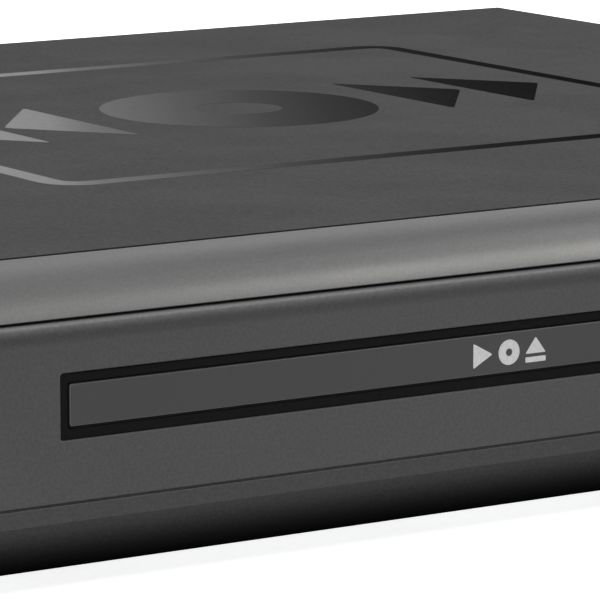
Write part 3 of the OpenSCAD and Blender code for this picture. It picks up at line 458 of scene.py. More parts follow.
# The floor: a wide square that throws little light on the object and looks pale itself
def makeFloor():
    half = studio["floorHalf"]
    square = [(x, y, 0) for x, y in rectangle(-half, half, -half, half)]
    mesh = bpy.data.meshes.new("floor")
    mesh.from_pydata(square, [], [(0, 1, 2, 3)])
    floor = bpy.data.objects.new("floor", mesh)
    bpy.context.scene.collection.objects.link(floor)
    material = bpy.data.materials.new("floor")
    material.use_nodes = True
    tree = material.node_tree
    tree.nodes.remove(tree.nodes["Principled BSDF"])
    output = tree.nodes["Material Output"]
    dull = tree.nodes.new("ShaderNodeBsdfDiffuse")
    dull.inputs["Color"].default_value = (*(studio["floorBounce"],) * 3, 1)
    pale = tree.nodes.new("ShaderNodeBsdfDiffuse")
    pale.inputs["Color"].default_value = (*(studio["floorLook"],) * 3, 1)
    glow = tree.nodes.new("ShaderNodeEmission")
    glow.inputs["Strength"].default_value = studio["floorGlow"]
    seen = tree.nodes.new("ShaderNodeAddShader")
    tree.links.new(pale.outputs[0], seen.inputs[0])
    tree.links.new(glow.outputs[0], seen.inputs[1])
    choice = tree.nodes.new("ShaderNodeMixShader")
    tree.links.new(shownRay(tree), choice.inputs[0])
    tree.links.new(dull.outputs[0], choice.inputs[1])
    tree.links.new(seen.outputs[0], choice.inputs[2])
    tree.links.new(choice.outputs[0], output.inputs["Surface"])
    mesh.materials.append(material)


makeWorld()
makeFloor()
for name, (at, size, radiance) in studio["softboxes"].items():
    softbox(name, at, size, radiance)
bpy.data.objects["frontRight"].data.color = studio["warm"]
bpy.context.scene.view_settings.view_transform = "Standard"
print("studio ready")

topCover = {
    "bend": (2.2, 0.9),     # outer radius of the CAD bend and of the crisper one that replaces it
    "sheet": 0.8,           # thickness of the cover's sheet
    "hem": 0.7, "edge": 0.12,       # rounding of the rear edge and of the others
    "paint": dict(colour=(0.0475, 0.0475, 0.0479), rough=0.8, grain=1700, speckle=0.10, cloud=40,
                  drift=0.025, bump=0.012, specular=0.03),
    # painted shadow: the dark colour of the sheet's front edge, for the gap above the strip
    "paintedGapShadow": dict(colour=(0.022, 0.022, 0.022), rough=0.8, grain=900, speckle=0.1, bump=0, specular=0.0),
}
coverPaint = finish("coverPaint", **topCover["paint"])
frontEdgePaintedShadow = finish("frontEdgePaintedShadow", **topCover["paintedGapShadow"])


# Moves the cover's skin: both bends become arcs of a smaller radius about a centre nearer the corner,
# each point keeping its angle, and the top sinks by the height of the ink
def crisperBends(points):
    x, y, z = points.T
    wide, tight = topCover["bend"]
    sheet = topCover["sheet"]
    across, up = np.abs(x) - (halfWidth - wide), z - (topZ - wide)
    reach = np.hypot(across, up)
    corner = (across > -0.01) & (up > -0.01)
    for old, new in ((wide, tight), (wide - sheet, tight - sheet)):
        ring = corner & (np.abs(reach - old) < 0.02)
        x = np.where(ring, np.sign(x) * (halfWidth - tight + across * new / old), x)
        z = np.where(ring, topZ - tight + up * new / old, z)
    return np.column_stack([x, y, np.minimum(z, topZ - inkHeight)])


# Gives the sheet's front edge a dark colour: painted shadow for the gap above the strip
def paintFrontShadow(mesh):
    centres = np.empty(len(mesh.polygons) * 3)
    normals = np.empty(len(mesh.polygons) * 3)
    mesh.polygons.foreach_get("center", centres)
    mesh.polygons.foreach_get("normal", normals)
    front = (centres[1::3] / mm < coverLow[1] + 0.1) & (normals[1::3] < -0.7)
    mesh.materials.append(frontEdgePaintedShadow)
    mesh.polygons.foreach_set("material_index", front.astype(np.int32))


# Marks the outer edges at the cover's rear end, which get a wider rounding
def markHem(mesh):
    points = np.empty(len(mesh.vertices) * 3)
    mesh.vertices.foreach_get("co", points)
    points = points.reshape(-1, 3) / mm
    ends = np.empty(len(mesh.edges) * 2, int)
    mesh.edges.foreach_get("vertices", ends)
    x, y, z = np.moveaxis(points[ends.reshape(-1, 2)], -1, 0)
    atBack = (y > coverHigh[1] - 0.01).all(1)
    tight = topCover["bend"][1]
    across, up = np.abs(x) - halfWidth + tight, z - topZ + tight
    outside = ((across > tight - 0.01) | (up > tight - 0.05)
               | ((across > 0) & (up > 0) & (np.hypot(across, up) > tight - 0.1))).all(1)
    weight = mesh.attributes.new("bevel_weight_edge", "FLOAT", "EDGE")
    weight.data.foreach_set("value", (atBack & outside).astype(np.float32))


# The cover: the CAD sheet with crisper bends, a front edge in painted shadow and a rounded hem, the hem's
# bevel first
def makeCover():
    cover = dress("top_cover", coverPaint, topCover["edge"], shape=crisperBends)
    paintFrontShadow(cover.data)
    markHem(cover.data)
    hem = soften(cover, topCover["hem"], 4).modifiers[-1]
    hem.limit_method = "WEIGHT"
    cover.modifiers.move(1, 0)


makeCover()

motif = {
    "ring": (126.2, 110.5, 6.2),        # outer width, depth and corner radius
    "ringWidth": 3.4, "ringRight": 2.9,     # width of its line, and at its right side
    "ringFront": 46.0,      # from the cover's front edge to the ring's front
    "discRadius": 21.0, "discHole": 6.5,
    "arrow": (13.0, 34.0, 1.2),     # reach, height and rounding of an arrow
    "arrowGap": 1.8, "arrowAt": 27.5,       # between a pair's arrows, and from the disc's middle to a pair
    # the ink's painted reflection, light at one end of the cover and near black at the other: place along
    # the diagonal in millimetres, then grey
    "paintedLight": [(-42, 0.186), (-32, 0.163), (-26, 0.109), (-18, 0.087), (-12, 0.068), (-4, 0.053),
               (0, 0.0425), (10, 0.027), (20, 0.0178), (30, 0.0110), (50, 0.0065)],
    "across": -28.6,      # turn of the diagonal from +X, in degrees
    "ink": dict(colour=(0.1, 0.1, 0.1), rough=0.6, grain=900, speckle=0.03, bump=0, specular=0.0),
}


# The ink's painted reflection: its grey by the place along a diagonal of the cover
def paintedInkReflection(tree):
    low, high = motif["paintedLight"][0][0], motif["paintedLight"][-1][0]
    along = objectPlace(tree, turn=(0, 0, -math.radians(motif["across"])))
    stops = [((spot - low) / (high - low), (grey, grey, grey * 1.01)) for spot, grey in motif["paintedLight"]]
    return toneRamp(tree, along, "X", low, high, stops)


# the printed ink, with its painted reflection as its colour
inkWithPaintedReflection = finish("inkWithPaintedReflection", base=paintedInkReflection, **motif["ink"])


# The printed motif: a ring of straight lines around a disc between two pairs of arrows
def makePrint():
    low, high = topZ - inkHeight - 0.01, topZ - 0.001
    width, depth, corner = motif["ring"]
    band, right = motif["ringWidth"], motif["ringRight"]
    middle = np.array([0, coverLow[1] + motif["ringFront"] + depth / 2])
    inside = middle + ((band - right) / 2, 0)
    outer = roundRect(width, depth, corner, middle, 12)
    inner = roundRect(width - band - right, depth - 2 * band, corner - band, inside, 12)
    solids = [ringed(outer, inner, low, high, 2)]
    disc, hole = (arc(middle, motif[name], 0, 360, 96)[:-1] for name in ("discRadius", "discHole"))
    solids.append(ringed(disc, hole, low, high, 2))
    reach, tall, radius = motif["arrow"]
    for side in (-1, 1):
        for k in range(2):
            start = side * (motif["arrowAt"] + k * (reach + motif["arrowGap"]))
            triangle = [(start, -tall / 2), (start + side * reach, 0), (start, tall / 2)]
            outline = rounded(np.array(triangle) + middle, radius)
            solids.append(carried(outline, [low, high], 2))
    place(newPiece("cover_print", together(solids)), inkWithPaintedReflection, slot="cover_paint", body="case")


makePrint()
print("cover ready")

strip = {
    "radius": 11.2, "edge": 0.22, "steps": 64,
    "rearDrop": 0.12,       # rear edge below the cover's top
    # its hidden shelf: from the cover's edge back, below the cover's top, and in from its sides
    "shelf": (-1.4, 5.6), "shelfBelow": (2.25, 1.0), "shelfInset": 1.6,
    "paint": dict(colour=(0.1210, 0.1210, 0.1214), rough=0.325, grain=2600, speckle=0.05, cloud=30,
                  drift=0.03, bump=0.003, metallic=0.35, specular=0.5, uneven=0.03),
}
panel = {
    "edge": 0.18, "shelf": 4.86, "foot": 1.2,       # rounding, and depth and height of its foot
    "lift": 0.22, "drop": 0.25,     # its upper and lower edges against the CAD's
    "lip": (0.22, 1.15, 0.4),       # how far the upper edge stands out, over what height, and its rounding
    # depth below the upper edge, then share of the colour: a painted highlight on the lip over a painted
    # shade in the hollow
    "paintedLight": [(2.6, 1.0), (2.3, 0.86), (1.9, 0.70), (1.5, 0.66), (1.2, 0.74), (1.0, 0.92), (0.85, 1.15),
               (0.62, 1.5), (0.5, 1.85), (0.0, 2.1)],
    "tongue": (0.35, 0.30, 1.1),    # the tongue in the lower seam: how far back, its height and thickness
    "windowHole": (0.1, 0.8),       # room around the window, and the hole's corners
    "buttonHole": (10.5, 4.5, 1.0), "lightHole": 1.35,      # width, height and corners, and a radius
    "plastic": dict(colour=(0.0610, 0.0610, 0.0615), rough=0.40, grain=2300, speckle=0.09, cloud=35,
                    bump=0.010, specular=0.18),
}
panelBottom, panelTop = panelLow[2] - panel["drop"], panelHigh[2] + panel["lift"]
chin = {
    "radius": 7.5, "edge": 0.15, "crease": 13.0,     # degrees that the curve leans in at the crease
    # painted shade: share of the height up to the crease, then share of the colour
    "paintedShade": [(0.0, 0.20), (0.42, 0.48), (0.85, 0.98), (1.0, 1.0)],
    "plastic": dict(colour=(0.0770, 0.0770, 0.0774), rough=0.7, grain=2300, speckle=0.07, cloud=35,
                    bump=0.008, specular=0.0),
}
door = {
    "hole": (133.0, 8.3), "corner": 0.4,        # the panel's hole for the frame
    "flange": (2.0, 1.2), "frameEdge": 0.1,     # the frame's flange: width and thickness, and its rounding
    "gap": 0.16, "sill": 0.12,      # room around the leaf, and what is added below it for the tray
    # the step around the leaf: from and to what depth, its clearance and how far it reaches into the leaf
    "step": (0.12, 1.2, 0.05, 0.3),
    "leafCorner": 0.3, "edge": 0.14, "edgeGloss": dict(rough=0.30, specular=0.3, uneven=0.02),
    "plastic": dict(colour=(0.0565, 0.0565, 0.0570), rough=0.42, grain=3000, speckle=0.03, cloud=20,
                    drift=0.03, bump=0.002, specular=0.12),
    "frame": dict(colour=(0.0065, 0.0065, 0.0065), rough=0.55, grain=2500, speckle=0.15, bump=0.004,
                  specular=0.03),
    "lift": (0.35, -0.10),      # the leaf's lower and upper edges against the CAD's
    "symbolX": -28.0, "symbolHeight": 3.3, "symbolHole": 0.5,
    "wedge": (-5.6, -2.6), "eject": (2.6, 5.8),     # both ends of the side symbols, from the disc's middle
}
stripPaint = finish("stripPaint", **strip["paint"])


# The panel's painted highlight and shade by its height: shares of its colour, read from the upper edge down
def panelPaintedLight(tree):
    depth, colour = panel["paintedLight"][0][0], np.array(panel["plastic"]["colour"])
    stops = [(1 - below / depth, colour * share) for below, share in panel["paintedLight"]]
    return toneRamp(tree, objectPlace(tree), "Z", panelTop - depth, panelTop, stops)


# the panel's plastic, with the painted highlight and shade of its lip
panelPlasticPaintedLight = finish("panelPlasticPaintedLight", base=panelPaintedLight, **panel["plastic"])


# The lower trim's painted shade: it darkens from the crease down to its lower edge
def chinPaintedShade(tree):
    low, colour = chinLow[2], np.array(chin["plastic"]["colour"])
    stops = [(spot, colour * share) for spot, share in chin["paintedShade"]]
    return toneRamp(tree, objectPlace(tree), "Z", low, low + chin["radius"], stops)


# the trim's plastic, with painted shade towards its lower edge
trimPlasticPaintedShade = finish("trimPlasticPaintedShade", base=chinPaintedShade, **chin["plastic"])
# the tongue: the trim's plastic made lighter, painted light in the shaded seam under the panel
tonguePlasticPaintedLight = finish("tonguePlasticPaintedLight", **dict(chin["plastic"], colour=(0.115, 0.115, 0.116)))


# The strip's section in y and z: a convex arc over its two edges and a back with a square corner
def stripOutline():
    rear = np.array([coverLow[1] - 0.4, topZ - strip["rearDrop"]])
    lower = np.array([stripLow[1], stripLow[2]])
    middle, half = (rear + lower) / 2, np.linalg.norm(rear - lower) / 2
    way = (rear - lower) / (2 * half)
    centre = middle + math.sqrt(strip["radius"] ** 2 - half ** 2) * np.array([way[1], -way[0]])
    first = math.degrees(math.atan2(*(lower - centre)[::-1])) % 360
    last = math.degrees(math.atan2(*(rear - centre)[::-1])) % 360
    # longer steps at both ends leave room for the softened edge
    curve = np.delete(arc(centre, strip["radius"], last, first, strip["steps"]), [1, 2, -3, -2], 0)
    return np.concatenate([curve, [(rear[0], lower[1])]])


# The strip: its section carried from side to side, joined to the shelf that runs under the cover
def makeStrip():
    full = newPiece("trim_strip_form", carried(stripOutline(), [-halfWidth, halfWidth], 0))
    front, rear = coverLow[1] + np.array(strip["shelf"])
    low, high = topZ - np.array(strip["shelfBelow"])
    inside = halfWidth - strip["shelfInset"]
    shelf = carried(rectangle(front, rear, low, high), [-inside, inside], 0)
    combine(full, newPiece("shelf", shelf), "UNION")
    soften(full, strip["edge"], 3)
    place(full, stripPaint, "trim_strip")


# The panel's face from its lower edge up: flat, then leaning out to a lip with a round upper edge
def panelFace():
    out, height, rim = panel["lip"]
    lip = arc((frontY - out + rim, panelTop - rim), rim, 180, 90, 10)
    return np.concatenate([[(frontY, panelBottom), (frontY, panelTop - rim - height)], lip])


# A shell: a solid outline carried from side to side, less a hollow that stops a wall short of both ends
def shellOf(name, outline, hollow):
    shell = newPiece(name, carried(outline, [-halfWidth, halfWidth], 0))
    core = newPiece("hollow", carried(hollow, [wall - halfWidth, halfWidth - wall], 0))
    return combine(shell, core, "DIFFERENCE")


# The panel's shell with a shelf under the strip, a short foot and two sides, and the holes for the door,
# the window, the light and the buttons
def makePanel():
    low, top, back = panelBottom, panelTop, coverLow[1] - 0.2
    inner, shelf, floor = frontY + wall, frontY + panel["shelf"], panelBottom + panel["foot"]
    outline = np.concatenate([panelFace(), [(back, top), (back, low)]])
    hollow = [(back + 1, top - wall), (inner, top - wall), (inner, floor), (shelf, floor), (shelf, low - 1),
              (back + 1, low - 1)]
    shell = shellOf("front_panel_form", outline, hollow)
    outlines = [roundRect(*door["hole"], door["corner"], middleOf("tray_door"), 6)]
    room, corner = panel["windowHole"]
    width, height = (windowHigh - windowLow)[[0, 2]] + room
    outlines.append(roundRect(width, height, corner, middleOf("display_window"), 6))
    outlines.append(arc(middleOf("standby_light"), panel["lightHole"], 0, 360, 32)[:-1])
    outlines += [roundRect(*panel["buttonHole"], middleOf(name), 6) for name in buttons["nodes"]]
    holes = [carried(hole, [frontY - 1, frontY + wall + 0.6], 1) for hole in outlines]
    combine(shell, newPiece("holes", together(holes)), "DIFFERENCE")
    soften(shell, panel["edge"])
    place(shell, panelPlasticPaintedLight, "front_panel")


# The tongue that fills the seam under the panel: one box along the front and one along each side,
# a hair apart in place so that no two faces share a plane
def makeTongue():
    inset, height, thick = panel["tongue"]
    reach, front, back = halfWidth - inset, frontY + inset, chinHigh[1] - 0.3
    boxes = [(-reach, reach, front, front + thick, 0.0),
             (-reach - 0.02, thick - reach, front + 0.02, back, 0.01),
             (reach - thick, reach + 0.02, front + 0.02, back, 0.01)]
    low, high = panelBottom - height, panelBottom + 0.9
    solids = [carried(rectangle(y0, y1, low + up, high + up), [x0, x1], 0) for x0, x1, y0, y1, up in boxes]
    place(newPiece("panel_tongue", together(solids)), tonguePlasticPaintedLight, slot="panel_plastic", body="case")


# The lower trim: flat down to a crease, then an arc that leans in at once and runs under the case.
# The leaning arc's radius is the trim's own over (cos - sin) of the crease's angle.
def makeChin():
    y, z, r = chinLow[1], chinLow[2], chin["radius"]
    lean = math.radians(chin["crease"])
    radius = r / (math.cos(lean) - math.sin(lean))
    centre = (y + radius * math.cos(lean), z + radius * math.cos(lean))
    curve = arc(centre, radius, 180 + chin["crease"], 270 - chin["crease"], 32)
    back, top = chinHigh[1], chinHigh[2] - panel["drop"]
    outline = np.concatenate([curve, [(back, z), (back, top), (y, top)]])
    inner = arc((y + r, z + r), r - wall, 270, 180, 16)
    roof = [(y + wall, top - wall), (back + 1, top - wall)]
    hollow = np.concatenate([[(back + 1, z + wall)], inner, roof])
    shell = shellOf("lower_trim_form", outline, hollow)
    shade(shell.data, 8)      # keeps the crease crisp
    soften(shell, chin["edge"])
    place(shell, trimPlasticPaintedShade, "lower_trim")


buttons = {
    "nodes": ("power_button", "open_close_button", "play_button", "stop_button"),
    "cap": (10, 4, 0.8),        # width, height and corners
    "collar": (2.4, 1.2, 1.0),      # how much wider the collar is, its corners and thickness
    "stem": 1.6, "edge": 0.45, "icon": 2.0, "line": 0.32,       # stem's radius, symbol's size and line
    "plastic": dict(colour=(0.045, 0.045, 0.046), rough=0.42, grain=2600, speckle=0.05, bump=0.004,
                    specular=0.35),
    "ink": dict(colour=(0.62, 0.62, 0.62), grain=2000, speckle=0.05, bump=0, specular=0.2),
}
makeStrip()
makePanel()
makeTongue()
makeChin()
print("front shell ready")

leafLow, leafHigh = doorLow + (0, 0, door["lift"][0]), doorHigh + (0, 0, door["lift"][1])
doorPlastic = finish("doorPlastic", **door["plastic"])
doorEdge = finish("doorEdge", **dict(door["plastic"], **door["edgeGloss"]))
framePlastic = finish("framePlastic", **door["frame"])
symbolInk = finish("symbolInk", **buttons["ink"])


# The frame's opening, less a clearance: the leaf's outline moved out by the gap, and down by the sill
def frameOpening(clearance=0):
    low, high = leafLow - door["gap"] - (0, 0, door["sill"]), leafHigh + door["gap"]
    size = high - low - 2 * clearance
    return roundRect(size[0], size[2], door["corner"], (low + high)[[0, 2]] / 2, 6)


# A narrow step behind the leaf's edge, of the door's plastic but given the frame's black as painted shade
# for the gap around the leaf: a ring from inside the leaf to just short of the frame
def makePaintedShadeStep():
    start, stop, clearance, overlap = door["step"]
    size = leafHigh - leafLow - 2 * overlap
    inner = roundRect(size[0], size[2], 0.1, (leafLow + leafHigh)[[0, 2]] / 2, 6)
    step = ringed(frameOpening(clearance), inner, doorLow[1] + start, doorLow[1] + stop, 1)
    # painted shade: the frame's black on a piece of the door's plastic
    place(newPiece("door_step_painted_shade", step), framePlastic, slot="door_plastic", body="tray")


# The door's leaf with small symbols on its face
def makeDoor():
    middle, size = (leafLow + leafHigh) / 2, leafHigh - leafLow
    outline = roundRect(size[0], size[2], door["leafCorner"], (middle[0], middle[2]), 6)
    leaf = newPiece("tray_door_form", carried(outline, [doorLow[1], doorHigh[1]], 1))
    soften(leaf, door["edge"], 4)
    place(leaf, doorPlastic, "tray_door")
    leaf.data.materials.append(doorEdge)
    leaf.modifiers["soften"].material = 1
    # a triangle, a disc with a hole and an eject sign stand in a row
    low, high = doorLow[1] - inkHeight, doorLow[1] + 0.02
    x, z, half = door["symbolX"], middle[2], door["symbolHeight"] / 2
    start, tip = x + np.array(door["wedge"])
    wedge = rounded([(start, z - half), (tip, z), (start, z + half)], 0.25)
    left, right = x + np.array(door["eject"])
    peak, base = (left + right) / 2, z - half * 0.3
    eject = rounded([(left, base), (right, base), (peak, z + half)], 0.2)
    bar = roundRect(right - left, half * 0.42, 0.1, (peak, z - half * 0.79), 3)
    ring = [arc((x, z), radius, 0, 360, 48)[:-1] for radius in (half, door["symbolHole"])]
    solids = [carried(wedge, [low, high], 1), ringed(*ring, low, high, 1), carried(eject, [low, high], 1),
              carried(bar, [low, high], 1)]
    place(newPiece("door_symbols", together(solids)), symbolInk, slot="door_plastic", body="tray")


# The frame: a ring in the panel's hole and a wider flange behind the panel
def makeFrame():
    centre, inner = middleOf("tray_door"), frameOpening()
    (width, height), (rim, thick) = door["hole"], door["flange"]
    outer = roundRect(width - 2 * snug, height - 2 * snug, door["corner"], centre, 6)
    flange = roundRect(width + 2 * rim, height + 2 * rim, door["corner"], centre, 6)
    ring = newPiece("tray_frame_form", ringed(outer, inner, frameLow[1], frameHigh[1], 1))
    back = frontY + wall + snug
    combine(ring, newPiece("flange", ringed(flange, inner, back, back + thick, 1)), "UNION")
    soften(ring, door["frameEdge"])
    place(ring, framePlastic, "tray_frame")


makeDoor()
makePaintedShadeStep()
makeFrame()
print("door ready")

buttonPlastic = finish("buttonPlastic", **buttons["plastic"])


# A button's symbol around its middle: an open circle and a bar, a triangle over a bar, a triangle, a square
def iconSolids(kind, centre, low, high):
    x, z = centre
    r, line = buttons["icon"] / 2, buttons["line"]
    if kind == "power_button":
        outer = arc((x, z), r, 125, 415, 40)
        inner = arc((x, z), r - line, 415, 125, 40)
        bar = roundRect(line, r * 1.1, 0.08, (x, z + r * 0.75), 3)
        return [carried(np.concatenate([outer, inner]), [low, high], 1), carried(bar, [low, high], 1)]
    if kind == "open_close_button":
        wedge = rounded([(x - r, z - r * 0.2), (x + r, z - r * 0.2), (x, z + r)], 0.1)
        bar = roundRect(2 * r, line, 0.08, (x, z - r * 0.75), 3)
        return [carried(wedge, [low, high], 1), carried(bar, [low, high], 1)]
    if kind == "play_button":
        wedge = rounded([(x - r * 0.7, z - r), (x + r, z), (x - r * 0.7, z + r)], 0.1)
        return [carried(wedge, [low, high], 1)]
    return [carried(roundRect(1.7 * r, 1.7 * r, 0.1, (x, z), 3), [low, high], 1)]


# A button: a cap through the panel, a wider collar behind it and a round stem, with its symbol on the cap
def makeButton(name):
    low, high = corners(name)
    centre = middleOf(name)
    face, back = low[1] + inkHeight, frontY + wall + 2 * snug
    width, height, corner = buttons["cap"]
    wider, bend, thick = buttons["collar"]
    cap = carried(roundRect(width, height, corner, centre, 6), [face, back], 1)
    collar = carried(roundRect(width + wider, height + wider, bend, centre, 6), [back, back + thick], 1)
    stem = carried(arc(centre, buttons["stem"], 0, 360, 24)[:-1], [back + thick - 0.1, high[1]], 1)
    button = newPiece(name + "_form", cap)
    combine(button, newPiece("collar", collar), "UNION")
    combine(button, newPiece("stem", stem), "UNION")
    soften(button, buttons["edge"], 4)
    place(button, buttonPlastic, name)
    icon = newPiece(name + "_icon", together(iconSolids(name, centre, low[1] + 0.001, face + 0.02)))
    place(icon, symbolInk, slot="button_plastic", body=bodyOf[name])


for name in buttons["nodes"]:
    makeButton(name)

display = {
    "glass": dict(colour=(0.012, 0.013, 0.016), rough=0.08, grain=300, speckle=0.04, bump=0, specular=0.25,
                  uneven=0.02),
    "ghost": dict(colour=(0.070, 0.085, 0.080), rough=0.3, grain=900, speckle=0.05, bump=0, specular=0.4),
    "corner": 0.75, "edge": 0.15,
    # a digit's width and height, its bars' line and what they stop short of its corners
    "digit": (3.0, 5.4), "line": 0.5, "short": 0.12, "pitch": 4.6, "slant": 0.10,
    "start": -14.2, "pairGap": 1.6,     # the first digit from the middle, and what is added after a pair
    "dot": (0.32, 1.1),     # a colon's dots: radius, and distance above and below the middle
    "light": dict(colour=(0.35, 0.012, 0.010), rough=0.18, grain=400, bump=0, specular=0.5, coat=0.4),
}
windowGlass = finish("windowGlass", **display["glass"])
ghostInk = finish("ghostInk", **display["ghost"])
lightPlastic = finish("lightPlastic", **display["light"])


# The seven bars of one digit: three level and four upright, each a long hexagon, leaning by the slant
def digitSolids(x, z, low, high):
    width, height = display["digit"]
    line = display["line"]
    solids = []
    level = [(0, height / 2), (0, 0), (0, -height / 2)]
    upright = [(sx * width / 2, sz * height / 4) for sx in (-1, 1) for sz in (-1, 1)]
    for k, (u, v) in enumerate(level + upright):
        half = (width if k < 3 else height / 2) / 2 - display["short"]
        bar = np.array([(-half, 0), (-half + line / 2, -line / 2), (half - line / 2, -line / 2), (half, 0),
                        (half - line / 2, line / 2), (-half + line / 2, line / 2)])
        if k >= 3:
            bar = bar[:, ::-1] * (-1, 1)
        bar = bar + (u, v)
        bar[:, 0] += display["slant"] * bar[:, 1]
        solids.append(carried(bar + (x, z), [low, high], 1))
    return solids


# The window with three pairs of unlit digits on its face, and a colon after each of the first two pairs
def makeWindow():
    (x, z), size = middleOf("display_window"), windowHigh - windowLow
    outline = roundRect(size[0], size[2], display["corner"], (x, z), 6)
    glass = newPiece("display_window_form", carried(outline, [windowLow[1], windowHigh[1]], 1))
    soften(glass, display["edge"], 3)
    place(glass, windowGlass, "display_window")
    low, high = windowLow[1] - 0.012, windowLow[1] + 0.01
    start, pitch, gap = x + display["start"], display["pitch"], display["pairGap"]
    radius, away = display["dot"]
    solids = []
    for k in range(6):
        solids += digitSolids(start + k * pitch + gap * (k // 2), z, low, high)
    for k in (0, 1):
        colon = start + (1.5 + 2 * k) * pitch + gap * k + gap / 2
        for up in (-away, away):
            dot = arc((colon + display["slant"] * up, z + up), radius, 0, 360, 12)[:-1]
            solids.append(carried(dot, [low, high], 1))
    place(newPiece("display_digits", together(solids)), ghostInk, slot="display_dark", body="case")


makeWindow()
dress("standby_light", lightPlastic, 0.2, 3)
print("controls ready")

caseParts = {
    "steel": dict(colour=(0.36, 0.37, 0.38), rough=0.38, grain=900, speckle=0.05, cloud=55, drift=0.10,
                  bump=0.002, metallic=0.9, specular=0.5, stretch=(1, 0.12, 1)),
    "rearPaint": dict(colour=(0.020, 0.020, 0.021), rough=0.6, speckle=0.12, bump=0.010, specular=0.25),
    "rubber": dict(colour=(0.012, 0.012, 0.012), rough=0.8, grain=1200, speckle=0.15, bump=0.012,
                   specular=0.2),
    "darkZinc": dict(colour=(0.06, 0.06, 0.065), rough=0.36, speckle=0.1, bump=0.003, metallic=0.8,
                     specular=0.5),
    "nickel": dict(colour=(0.62, 0.60, 0.56), rough=0.22, grain=800, speckle=0.04, bump=0.001, metallic=1.0,
                   specular=0.5),
    "inlet": dict(colour=(0.012, 0.012, 0.012), rough=0.45, grain=1800, speckle=0.1, bump=0.004,
                  specular=0.35),
    "phono": dict(colour=(0.5, 0.5, 0.5), rough=0.4, speckle=0.04, bump=0.002),
    "phonoColours": [(0.75, 0.50, 0.02), (0.62, 0.62, 0.60), (0.45, 0.02, 0.02), (0.62, 0.17, 0.01)],
}
steel = finish("zincSteel", **caseParts["steel"])
rearPaint = finish("rearPaint", **caseParts["rearPaint"])
rubber = finish("footRubber", **caseParts["rubber"])
darkZinc = finish("darkZinc", **caseParts["darkZinc"])
nickel = finish("nickelPlate", **caseParts["nickel"])
inletPlastic = finish("inletPlastic", **caseParts["inlet"])


# The phono sockets' plastic: one colour for each socket, by its place across the case
def phonoShade(tree):
    low, high = corners("phono_housings")
    colours, margin = caseParts["phonoColours"], 1.5      # half of what lies between two sockets
    stops = [(k / len(colours), colour) for k, colour in enumerate(colours)]
    return toneRamp(tree, objectPlace(tree), "X", low[0] - margin, high[0] + margin, stops, "CONSTANT")


phonoPlastic = finish("phonoPlastic", base=phonoShade, **caseParts["phono"])

foot = {
    "radius": 8.0, "edge": 0.1,
    "well": [(0, 1.3), (1.6, 1.3), (1.6, 0.9), (3.4, 0.9), (3.6, 0.0)],     # the screw's well in the sole
    "sole": (1.2, 0.8),     # its round edge: distance in from the side, and radius
    "seat": [(0.3, 1.0), (0.05, 0.8), (0.05, 0.0)],     # points in from the side and below the chassis
}


# Four feet: a half section of screw well, round sole and broad seat, turned round each foot's middle
def makeFeet():
    low, high = corners("feet")
    r, height = foot["radius"], high[2] - low[2]
    inset, edge = foot["sole"]
    seat = [(r - inward, height - down) for inward, down in foot["seat"]]
    section = np.concatenate([foot["well"], arc((r - inset, edge), edge, 270, 360, 6), seat, [(0, height)]])
    spots = [(x, y) for x in (low[0] + r, high[0] - r) for y in (low[1] + r, high[1] - r)]
    feet = newPiece("feet_form", together([turned(section, spot, 56) for spot in spots]))
    place(soften(feet, foot["edge"], angle=50), rubber, "feet")


# Moves the rear panel's cut upper corners out into the cover's crisper bends: both ends of a cut
# meet in its corner
def squareCorners(points):
    x, y, z = points.T
    reach, top = corners("rear_panel")[1][[0, 2]]
    cut = (np.abs(x) > reach - 2) & (z > top - 2)
    return np.column_stack([np.where(cut, np.sign(x) * reach, x), y, np.where(cut, top, z)])


makeFeet()
dress("bottom_chassis", steel, 0.12)
dress("rear_panel", rearPaint, 0.12, shape=squareCorners)
dress("cover_screws", darkZinc, 0.12, 3)
dress("rear_screws", darkZinc, 0.12, 3)
dress("phono_housings", phonoPlastic, 0.12)
dress("phono_sleeves", nickel, 0.1)
dress("hdmi_socket", nickel, 0.08)
dress("mains_inlet", inletPlastic, 0.2)
print("case ready")

works = {
    "loader": dict(colour=(0.022, 0.022, 0.024)),
    "trayPlastic": dict(colour=(0.021, 0.021, 0.021), grain=1700, speckle=0.14, cloud=30, drift=0.06,
                        bump=0.016, specular=0.35),
    "acetal": dict(colour=(0.66, 0.65, 0.60), rough=0.36, grain=900, speckle=0.03, bump=0.002,
                   specular=0.4),
    "brass": dict(colour=(0.62, 0.47, 0.17), rough=0.28, grain=1200, speckle=0.05, bump=0.001,
                  metallic=1.0),
    "shaft": dict(colour=(0.60, 0.61, 0.62), rough=0.18, grain=1600, speckle=0.03, bump=0.001, metallic=1.0,
                  stretch=(1, 0.2, 1)),
    "motor": dict(colour=(0.44, 0.45, 0.46), rough=0.3, grain=1300, speckle=0.05, bump=0.001,
                  metallic=0.95),
    "platform": dict(colour=(0.24, 0.25, 0.26), rough=0.42, grain=1100, speckle=0.06, bump=0.003,
                     metallic=0.8),
    "dark": dict(colour=(0.010, 0.010, 0.010), rough=0.7, grain=1800, speckle=0.12, specular=0.25),
    "belt": dict(colour=(0.006, 0.006, 0.006), rough=0.75, grain=2200, speckle=0.2, bump=0.004,
                 specular=0.2),
    "casting": dict(colour=(0.11, 0.12, 0.13), rough=0.45, grain=800, bump=0.008, metallic=0.85),
    "lens": dict(colour=(0.17, 0.22, 0.48), rough=0.04, grain=200, speckle=0.06, bump=0, specular=0.6,
                 coat=1.0, uneven=0.02),
    "white": dict(colour=(0.76, 0.76, 0.73), rough=0.42, grain=1300, speckle=0.03, bump=0.003,
                  specular=0.35),
    "magnet": dict(colour=(0.07, 0.07, 0.075), grain=1400, speckle=0.15, bump=0.008, metallic=0.6),
}
looks = {name: finish(name, **look) for name, look in works.items()}
